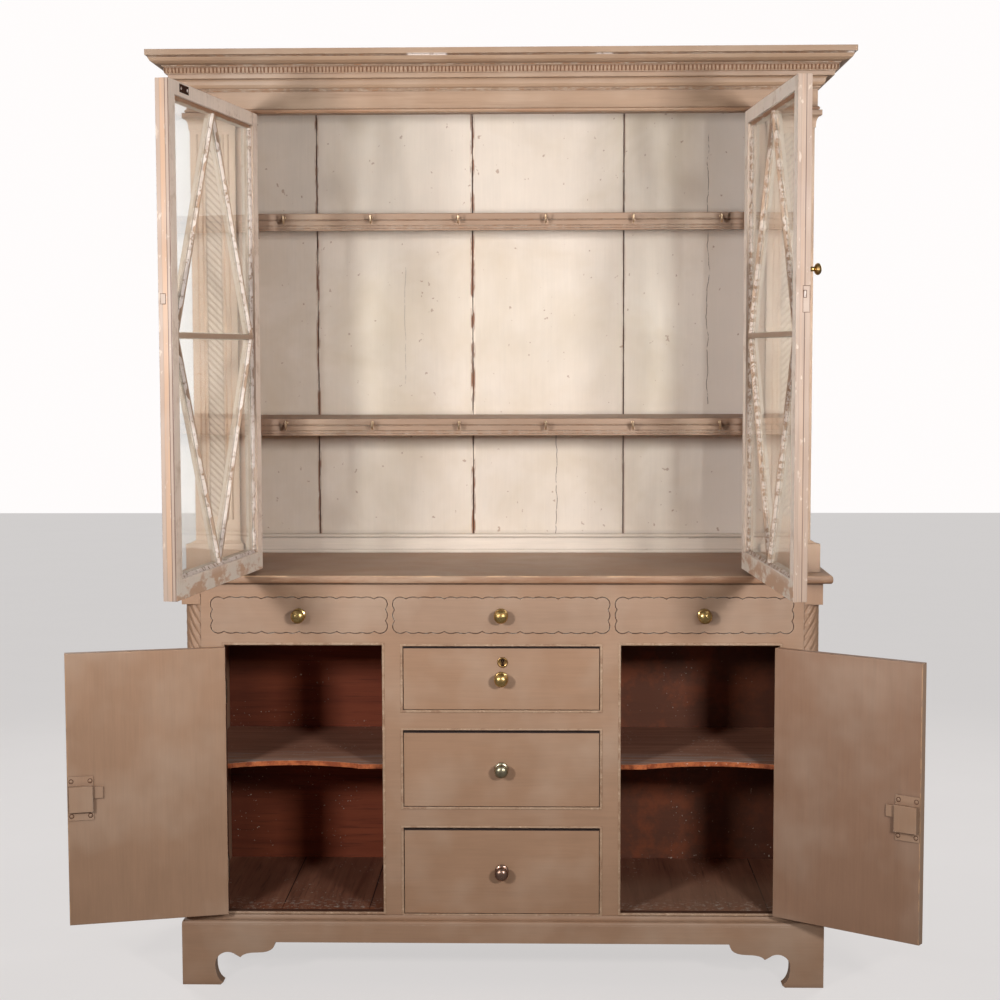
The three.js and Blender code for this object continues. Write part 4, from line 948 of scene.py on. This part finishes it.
def add_escutcheon():
    r = ESCUTCHEON_RADIUS
    plate = Piece().turned(at(ESCUTCHEON_X, 0.2, ESCUTCHEON_Z), FRONT, [
        (0, 0), (r, 0), (r, 0.7), (r - 0.8, 1.5), (r - 2.4, 1.7), (r - 3.4, 1.0), (r - 4.6, 0.8),
        (0, 0.8)])
    plate.build("escutcheon", worn_brass, "drawer_upper", True)
    outline = [(KEYHOLE_RADIUS * math.cos(turn), KEYHOLE_RISE + KEYHOLE_RADIUS * math.sin(turn))
               for turn in arc(12, *KEYHOLE_ARC)] + KEYHOLE_SLOT
    rings = [[at(ESCUTCHEON_X + x, y, ESCUTCHEON_Z + z) for x, z in outline] for y in KEYHOLE_Y]
    Piece().skin(rings).build("keyhole", keyhole_shade, "drawer_upper")
    pin = Piece().turned(at(ESCUTCHEON_X, 0, ESCUTCHEON_Z + KEYHOLE_RISE), FRONT, [
        (0, 0), (0.9, 0), (0.9, 1.1), (0.5, 1.4), (0, 1.5)], 12)
    pin.build("keyhole_pin", worn_brass, "drawer_upper", True)


# Screws of the box locks, from the middle of the lock plate
LOCK_FACE = 27.0
SCREW_U = 20.0
SCREW_Z = 38.0
SCREW_RIM = [(0, 0), (5.2, 0), (5.2, 0.45), (0, 0.45)]
SCREW_HEAD = [(0, 0), (3.9, 0), (3.9, 0.8), (2.6, 1.7), (0, 2.0)]


def add_lock_screws():
    for leaf in cupboard_leaves:
        low, high = span(leaf.body.replace("door", "lock"))
        middle = (low.z + high.z) / 2
        rims = Piece()
        heads = Piece()
        for du in (-SCREW_U, SCREW_U):
            for dz in (-SCREW_Z, SCREW_Z):
                place = leaf.point(CUPBOARD_KNOB_U + du, LOCK_FACE, middle + dz)
                rims.turned(place, -leaf.outward(), SCREW_RIM, 20)
                heads.turned(place, -leaf.outward(), SCREW_HEAD, 20)
        # Dark rims round the screw heads: dirt and painted shade
        rims.build(leaf.body + "_screw_rims", joint_dirt_and_shade, leaf.body)
        heads.build(leaf.body + "_screws", taupe_upright, leaf.body, True)


ROPE_COLUMNS = 14
ROPE_ROW = 1.6


def add_pilaster_carving():
    rows = int((STRIP_TOP - STRIP_BOTTOM) / ROPE_ROW)
    for side, word in ((-1, "left"), (1, "right")):
        rings = []
        for r in range(rows + 1):
            z = STRIP_BOTTOM + (STRIP_TOP - STRIP_BOTTOM) * r / rows
            ring = []
            for c in range(ROPE_COLUMNS + 1):
                x = STRIP_HALF * (2 * c / ROPE_COLUMNS - 1)
                phase = ((z - side * x) / ROPE_PITCH) % 1.0
                strand = math.sqrt(max(0.0, 1 - (2 * phase - 1) ** 2))
                cushion = math.sqrt(max(0.0, 1 - (x / STRIP_HALF) ** 4))
                y = STRIP_FACE + 0.3 - ROPE_DEPTH * strand * cushion
                ring.append(at(side * STRIP_MIDDLE + x, y, z))
            rings.append(ring)
        carving = Piece().skin(rings, closed=False, caps=False)
        carving.build(f"pilaster_carving_{word}", carved_paint, "carcase", True)
        beads = Piece()
        section = [(2.0 * math.cos(a), 0.3 - 1.5 * math.sin(a)) for a in arc(6)]
        for offset in (-SIDE_BEADS[1], -SIDE_BEADS[0], SIDE_BEADS[0], SIDE_BEADS[1]):
            middle = side * STRIP_MIDDLE + offset
            beads.skin([[at(middle + x, PILASTER_FACE + y, z) for x, y in section]
                        for z in (STRIP_BOTTOM - 8, STRIP_TOP + 4)])
        beads.build(f"pilaster_beads_{word}", taupe_upright, "carcase", True)


# Reeded band of the cornice
REED_PITCH = 8.2
REED_DEPTH = 3.0
REED_Z = (1995.6, 2008.6)
REED_OUT = (36.5, 39.4)
CORNICE_HALF = 685.0
CORNICE_FACE = 53.0
CASE_BACK = 470.0


def add_cornice_reeds():
    chance = random.Random(3)
    piece = Piece()
    (z0, z1), (out0, out1) = REED_Z, REED_OUT
    # Heights on a reed, and the share of its depth there
    levels = [(z0 + 0.2, 0.15), (z0 + 2.2, 0.95), (z0 + 6.0, 1.0), (z1 - 2.4, 0.9), (z1 - 0.2, 0.1)]

    def reed(place, start, width):
        depth = REED_DEPTH * chance.uniform(0.75, 1.1)
        slump = chance.uniform(-0.5, 0.5)
        rings = []
        for z, share in levels:
            up = (z - z0) / (z1 - z0)
            out = out0 + (out1 - out0) * up - 0.5
            rings.append([
                place(start + width * (0.5 - 0.4 * math.cos(turn)) + slump * up,
                      out + depth * share * math.sin(turn), z)
                for turn in arc(5)])
        piece.skin(rings)

    def run(place, start, end):
        x = start
        while x < end - REED_PITCH * 0.6:
            width = REED_PITCH * chance.uniform(0.84, 1.16)
            reed(place, x, min(width, end - x))
            x += width

    # A dark strip behind the reeds, round three sides: painted shade and dirt in the gaps between
    # them
    backing = Piece()
    corners = [(-CORNICE_HALF, CASE_BACK, -1, 0), (-CORNICE_HALF, CORNICE_FACE, -1, -1),
               (CORNICE_HALF, CORNICE_FACE, 1, -1), (CORNICE_HALF, CASE_BACK, 1, 0)]
    lower, upper = out0 + 0.25, out1 + 0.25
    section = [(lower, z0 + 0.6), (upper, z1 - 0.6), (upper - 1, z1 - 0.6), (lower - 1, z0 + 0.6)]
    for ends in zip(corners, corners[1:]):
        backing.skin([[at(x + sx * out, y + sy * out, z) for out, z in section]
                      for x, y, sx, sy in ends])
    backing.build("reed_backing", reed_gap_shade, "carcase")
    reach = CORNICE_HALF + out0
    run(lambda a, out, z: at(a, CORNICE_FACE - out, z), -reach, reach)
    run(lambda a, out, z: at(-CORNICE_HALF - out, a, z), CORNICE_FACE - out0, CASE_BACK)
    run(lambda a, out, z: at(CORNICE_HALF + out, a, z), CORNICE_FACE - out0, CASE_BACK)
    piece.build("cornice_reeds", reed_paint, "carcase", True)


# Plate shelves: section of the nosing from its top edge down, as depth from its face and drop
SHELF_REACH = 658.7
SHELF_BACK = 459.7
SHELF_FRONT = 180.0
SHELF_THICKNESS = 18.0
NOSING_SECTION = [
    (1.6, 0.0), (0.5, 0.5), (0.0, 1.8), (0.0, 12.4), (0.5, 13.6), (1.9, 14.0), (2.6, 15.0),
    (1.9, 16.0), (0.9, 16.4), (0.3, 17.6), (0.3, 25.8), (0.8, 26.8), (2.2, 27.2), (2.2, 28.4),
    (1.0, 28.8), (0.8, 30.0), (0.8, 32.6), (2.0, 33.0), (2.0, 34.2), (0.5, 34.6), (0.1, 35.8),
    (0.4, 37.6), (1.6, 38.5), (16.0, 38.5), (16.0, 18.0),
]
# Cup hooks: the bent wire's path is given as shares of the reach, outwards and up
HOOK_COUNT = 6
HOOK_PITCH = 196.0
HOOK_DROP = 8.8
HOOK_REACH = 14.6
HOOK_WIRE = 2.2
HOOK_ROSE = [(0, 0), (3.6, 0), (3.6, 0.8), (2.8, 1.6), (0, 2.0)]
HOOK_BENDS = [
    (-0.1, 0.0), (0.35, 0.0), (0.65, -0.12), (0.85, -0.5), (1.05, -0.88), (1.3, -0.98),
    (1.55, -0.82), (1.7, -0.45), (1.76, 0.0), (1.82, 0.3)]


def add_wire(piece, path, radius):
    """Round wire through a row of points that lie in one upright plane across X."""
    smooth = []
    for a, b in zip(path, path[1:]):
        smooth += [a, a.lerp(b, 0.5)]
    smooth.append(path[-1])
    side = Vector((1.0, 0.0, 0.0))
    last = len(smooth) - 1
    rings = []
    for i, point in enumerate(smooth):
        ahead = (smooth[min(i + 1, last)] - smooth[max(i - 1, 0)]).normalized()
        narrow = 0.6 if i == last else 1.0
        rings.append(ring_round(point, side, side.cross(ahead).normalized(),
                                radius * narrow * MM, 10))
    piece.skin(rings)


def add_plate_shelves():
    for node in ("plate_shelf_upper", "plate_shelf_lower"):
        top = span(node)[1].z
        section = [(SHELF_FRONT + depth, top - drop) for depth, drop in NOSING_SECTION]
        section += [(SHELF_BACK, top - SHELF_THICKNESS), (SHELF_BACK, top)]
        rings = [[at(x, y, z) for y, z in section] for x in (-SHELF_REACH, SHELF_REACH)]
        shelf = Piece().skin(rings).build("moulded_" + node, shelf_paint, "carcase")
        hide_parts(node)
        hooks = Piece()
        z = top - HOOK_DROP
        for i in range(HOOK_COUNT):
            x = (i - (HOOK_COUNT - 1) / 2) * HOOK_PITCH
            hooks.turned(at(x, SHELF_FRONT + 0.2, z), FRONT, HOOK_ROSE, 20)
            path = [at(x, SHELF_FRONT - out * HOOK_REACH, z + up * HOOK_REACH)
                    for out, up in HOOK_BENDS]
            add_wire(hooks, path, HOOK_WIRE)
        hooks.build("cup_hooks_" + node, hook_brass, "carcase", True)


# Glazing, in the leaf's millimetres
GLASS_BACK = 21.9
RIB_TOP = 28.6
RIB_HALF = 2.0
MIDDLE_RIB_HALF = 5.0
RIB_PUTTY = 5.4
FRAME_PUTTY_TOP = 27.6
PUTTY_STEP = 7.0
FRAME_PUTTY_LOSS = 0.12
RIB_PUTTY_LOSS = 0.4


def putty_run(piece, chance, leaf, start, end, across, widths, top, missing):
    """Uneven fillet of putty on the glass from start to end, both (u, z), against a bar or rebate.

    across is the direction (u, z) from the bar onto the glass, and widths are the near and far
    edges of the fillet along it.
    """
    length = math.hypot(end[0] - start[0], end[1] - start[1])
    steps = max(2, int(length / PUTTY_STEP))
    near, far = widths
    gone = 0
    rings = []
    for i in range(steps + 1):
        u, z = (a + (b - a) * i / steps for a, b in zip(start, end))
        if gone <= 0 and chance.random() < missing / 6:
            gone = chance.randint(2, 7)
        gone -= 1
        wide, full = (0.6, 0.3) if gone > 0 else (1.0, 1.0)
        reach = near + (far - near) * chance.uniform(0.8, 1.05) * wide
        height = (top - GLASS_BACK - 0.6) * full * chance.uniform(0.86, 1.04)
        section = [(near, 0.0), (reach, 0.0), ((near + 2 * reach) / 3, height * 0.5),
                   (near, height)]
        rings.append([leaf.point(u + across[0] * out, GLASS_BACK + rise, z + across[1] * out)
                      for out, rise in section])
    piece.skin(rings)


def rib(piece, leaf, start, end, half, top):
    """Wooden web of a glazing bar behind the glass, from start to end, both (u, z)."""
    du, dz = end[0] - start[0], end[1] - start[1]
    length = math.hypot(du, dz)
    nu, nz = -dz / length, du / length
    section = ((-half, GLASS_BACK), (half, GLASS_BACK), (half, top - 0.6), (half - 0.6, top),
               (0.6 - half, top), (-half, top - 0.6))
    piece.skin([[leaf.point(u + nu * a, y, z + nz * a) for a, y in section]
                for u, z in (start, end)])


def add_glazing():
    chance = random.Random(11)
    (u0, u1), (z0, z1) = SIGHT_U, SIGHT_Z
    middle = (u0 + u1) / 2
    left, right, low, high = u0 - REBATE, u1 + REBATE, z0 - REBATE, z1 + REBATE
    for leaf in glazed_leaves:
        lumps, webs, bare = Piece(), Piece(), Piece()
        frame_runs = (
            (lumps, (left, z0), (left, z1), (1, 0)), (lumps, (right, z0), (right, z1), (-1, 0)),
            (lumps, (u0, low), (u1, low), (0, 1)), (bare, (u0, high), (u1, high), (0, -1)))
        for piece, start, end, across in frame_runs:
            putty_run(piece, chance, leaf, start, end, across, (0.0, REBATE + 0.4),
                      FRAME_PUTTY_TOP, FRAME_PUTTY_LOSS)
        bare.build(leaf.body + "_bare_fillet", bare_fillet, leaf.body)
        for end_z in SIGHT_Z:
            for side_u in SIGHT_U:
                start, end = (middle, end_z), (side_u, SIGHT_MIDDLE)
                rib(webs, leaf, start, end, RIB_HALF, RIB_TOP)
                du, dz = end[0] - start[0], end[1] - start[1]
                length = math.hypot(du, dz)
                for way in (-1, 1):
                    putty_run(lumps, chance, leaf, start, end,
                              (-way * dz / length, way * du / length),
                              (RIB_HALF - 0.3, RIB_PUTTY), RIB_TOP, RIB_PUTTY_LOSS)
        rib(webs, leaf, (u0, SIGHT_MIDDLE), (u1, SIGHT_MIDDLE), MIDDLE_RIB_HALF, RIB_TOP)
        lumps.build(leaf.body + "_putty", flaked_putty if leaf.side < 0 else worn_putty, leaf.body)
        webs.build(leaf.body + "_ribs", rib_paint, leaf.body)


# Ironwork let into the meeting edges: across the edge, then up, in millimetres
KEEPER = ((8.5, 18.5), (1489.0, 1508.0))
EDGE_LOCK = ((5.6, 18.0), (1470.0, 1519.0))
LOCK_BOLT = ((12.5, 16.5), (1498.0, 1510.0))
FLUSH_BOLT = ((446.0, 499.0), (1893.5, 1909.5))
PLATE_JOINT = 0.8
HOLE_MARGIN = 1.2
PLATE_EASE = 0.15
BOLT_SCREW_IN = 9.0
BOLT_SCREW = [(0, 0), (3.4, 0), (2.6, 1.2), (0, 1.4)]


def on_edge(leaf):
    """Places on the free edge: through the leaf, into its edge, up."""
    return lambda a, deep, z: leaf.point(DOOR_FREE - deep, a, z)


def on_back(leaf):
    """Places on the inner face: along the leaf, into its face, up."""
    return lambda a, deep, z: leaf.point(a, DOOR_BACK - deep, z)


def add_edge_plates():
    left, right = glazed_leaves
    # Name, face, leaf, box, how much wider, how far proud, material
    # The shadow plates, the lock hole and the bolt recess are dark plates of painted shade with
    # dirt
    plates = (
        ("keeper_shadow", on_edge, left, KEEPER, PLATE_JOINT, 0.2, joint_dirt_and_shade),
        ("keeper", on_edge, left, KEEPER, 0.0, 0.35, edge_iron),
        ("edge_lock_shadow", on_edge, right, EDGE_LOCK, PLATE_JOINT, 0.2, joint_dirt_and_shade),
        ("edge_lock", on_edge, right, EDGE_LOCK, 0.0, 0.35, edge_iron),
        ("edge_lock_hole", on_edge, right, LOCK_BOLT, HOLE_MARGIN, 0.45, joint_dirt_and_shade),
        ("edge_lock_bolt", on_edge, right, LOCK_BOLT, 0.0, 0.6, flaked_putty),
        ("bolt_recess", on_back, left, FLUSH_BOLT, 0.0, 0.25, recess_shade),
    )
    for name, face, leaf, ((a0, a1), (z0, z1)), wider, proud, material in plates:
        place = face(leaf)
        rings = []
        for inset, deep in ((PLATE_EASE, -proud), (0.0, PLATE_EASE - proud), (0.0, 1.0)):
            out = wider - inset
            rings.append([place(a0 - out, deep, z0 - out), place(a1 + out, deep, z0 - out),
                          place(a1 + out, deep, z1 + out), place(a0 - out, deep, z1 + out)])
        Piece().skin(rings).build(name, material, leaf.body)
    screws = Piece()
    (u0, u1), heights = FLUSH_BOLT
    for u in (u0 + BOLT_SCREW_IN, u1 - BOLT_SCREW_IN):
        screws.turned(left.point(u, DOOR_BACK, sum(heights) / 2), -left.outward(), BOLT_SCREW, 16)
    screws.build("bolt_screws", flaked_putty, left.body, True)


# Camera: where the photograph was taken from, in the dresser's millimetres and radians
CAMERA_PLACE = (94.9, -4010.7, 1397.4)
CAMERA_YAW = -0.0241
CAMERA_PITCH = -0.0801
CAMERA_ROLL = -0.0025
SENSOR_WIDTH = 36.0
FOCAL_SHARE = 1.85076         # focal length against the sensor's width


def add_camera():
    data = bpy.data.cameras.new("camera")
    data.sensor_width = SENSOR_WIDTH
    data.sensor_fit = "HORIZONTAL"
    data.lens = FOCAL_SHARE * SENSOR_WIDTH
    data.clip_end = 100.0
    camera = shown("camera", data)
    aside = Matrix.Rotation(-CAMERA_YAW, 4, "Z")
    level_view = Matrix.Rotation(math.pi / 2 + CAMERA_PITCH, 4, "X")
    roll = Matrix.Rotation(CAMERA_ROLL, 4, "Z")
    camera.matrix_world = Matrix.Translation(at(*CAMERA_PLACE)) @ aside @ level_view @ roll
    bpy.context.scene.camera = camera


# Lamps: place and aim in the dresser's millimetres, side in metres, and watts. Two stand on both
# sides of the camera, and two softer ones behind, which the dresser keeps from its own front.
LAMP_AIM = (0.0, 100.0, 1650.0)
REAR_AIM = (0.0, 460.0, 1000.0)
LAMPS = (
    ("left_lamp", (-1583.0, -2700.0, 1560.0), LAMP_AIM, 0.36, 20.9),
    ("right_lamp", (1312.0, -2700.0, 1560.0), LAMP_AIM, 0.36, 20.9),
    ("rear_left_lamp", (-2600.0, 3100.0, 2300.0), REAR_AIM, 1.2, 17.0),
    ("rear_right_lamp", (2600.0, 3100.0, 2300.0), REAR_AIM, 1.2, 17.0),
)
LAMP_SPREAD = 110.0


def add_lamp(name, place, aim, side, watts):
    data = bpy.data.lights.new(name, "AREA")
    data.shape = "RECTANGLE"
    data.size = data.size_y = side
    data.energy = watts
    data.spread = math.radians(LAMP_SPREAD)
    lamp = shown(name, data)
    lamp.location = at(*place)
    lamp.rotation_euler = (at(*aim) - at(*place)).to_track_quat("-Z", "Y").to_euler()


WORLD_LIGHT = 0.09
GLOSS_LIGHT = 0.2             # share of the pale surroundings that glossy surfaces mirror
FLOOR_GLOW = 0.6
FLOOR_REACH = 12.0


def add_floor():
    """A pale floor that takes the shadow, and glows for the camera, the glass and the metal."""
    s = Shader("pale_floor")
    tone = s.mix(s.spots(0.3, 0.7, 1.5), (0.2, 0.18, 0.17, 1.0), (0.23, 0.21, 0.2, 1.0))
    body = s.principled(Base_Color=tone, Roughness=0.8)
    path = s.add("LightPath").outputs
    seen = s.math("MAXIMUM", path["Is Camera Ray"], path["Is Transmission Ray"])
    seen = s.math("MAXIMUM", seen, s.times(path["Is Glossy Ray"], GLOSS_LIGHT))
    glow = s.add("Emission", {
        "Color": (1.0, 0.97, 0.96, 1.0), "Strength": s.times(seen, FLOOR_GLOW)})
    s.finish(s.add("AddShader", {0: body, 1: glow.outputs[0]}).outputs[0])
    r = FLOOR_REACH
    mesh = bpy.data.meshes.new("floor")
    mesh.from_pydata([(-r, -r, 0), (r, -r, 0), (r, r, 0), (-r, r, 0)], [], [(0, 1, 2, 3)])
    mesh.materials.append(s.owner)
    floor = shown("floor", mesh)


def add_world():
    """Pale surroundings for the camera, the glass and the metal, and a weak light for the rest."""
    s = Shader("world", world=True)
    bpy.context.scene.world = s.owner
    path = s.add("LightPath").outputs
    strength = WORLD_LIGHT
    for ray, share in (("Camera", 1.0), ("Transmission", 1.0), ("Glossy", GLOSS_LIGHT)):
        strength = s.math("MAXIMUM", s.times(path[f"Is {ray} Ray"], share), strength)
    ground = s.add("Background", {"Color": (1.0, 0.975, 0.97, 1.0), "Strength": strength})
    s.finish(ground.outputs[0])


add_beads()
add_knobs()
add_escutcheon()
add_lock_screws()
add_pilaster_carving()
add_cornice_reeds()
add_plate_shelves()
add_glazing()
add_edge_plates()
add_camera()
add_floor()
add_world()
for lamp in LAMPS:
    add_lamp(*lamp)
bpy.context.scene.view_settings.view_transform = "Standard"
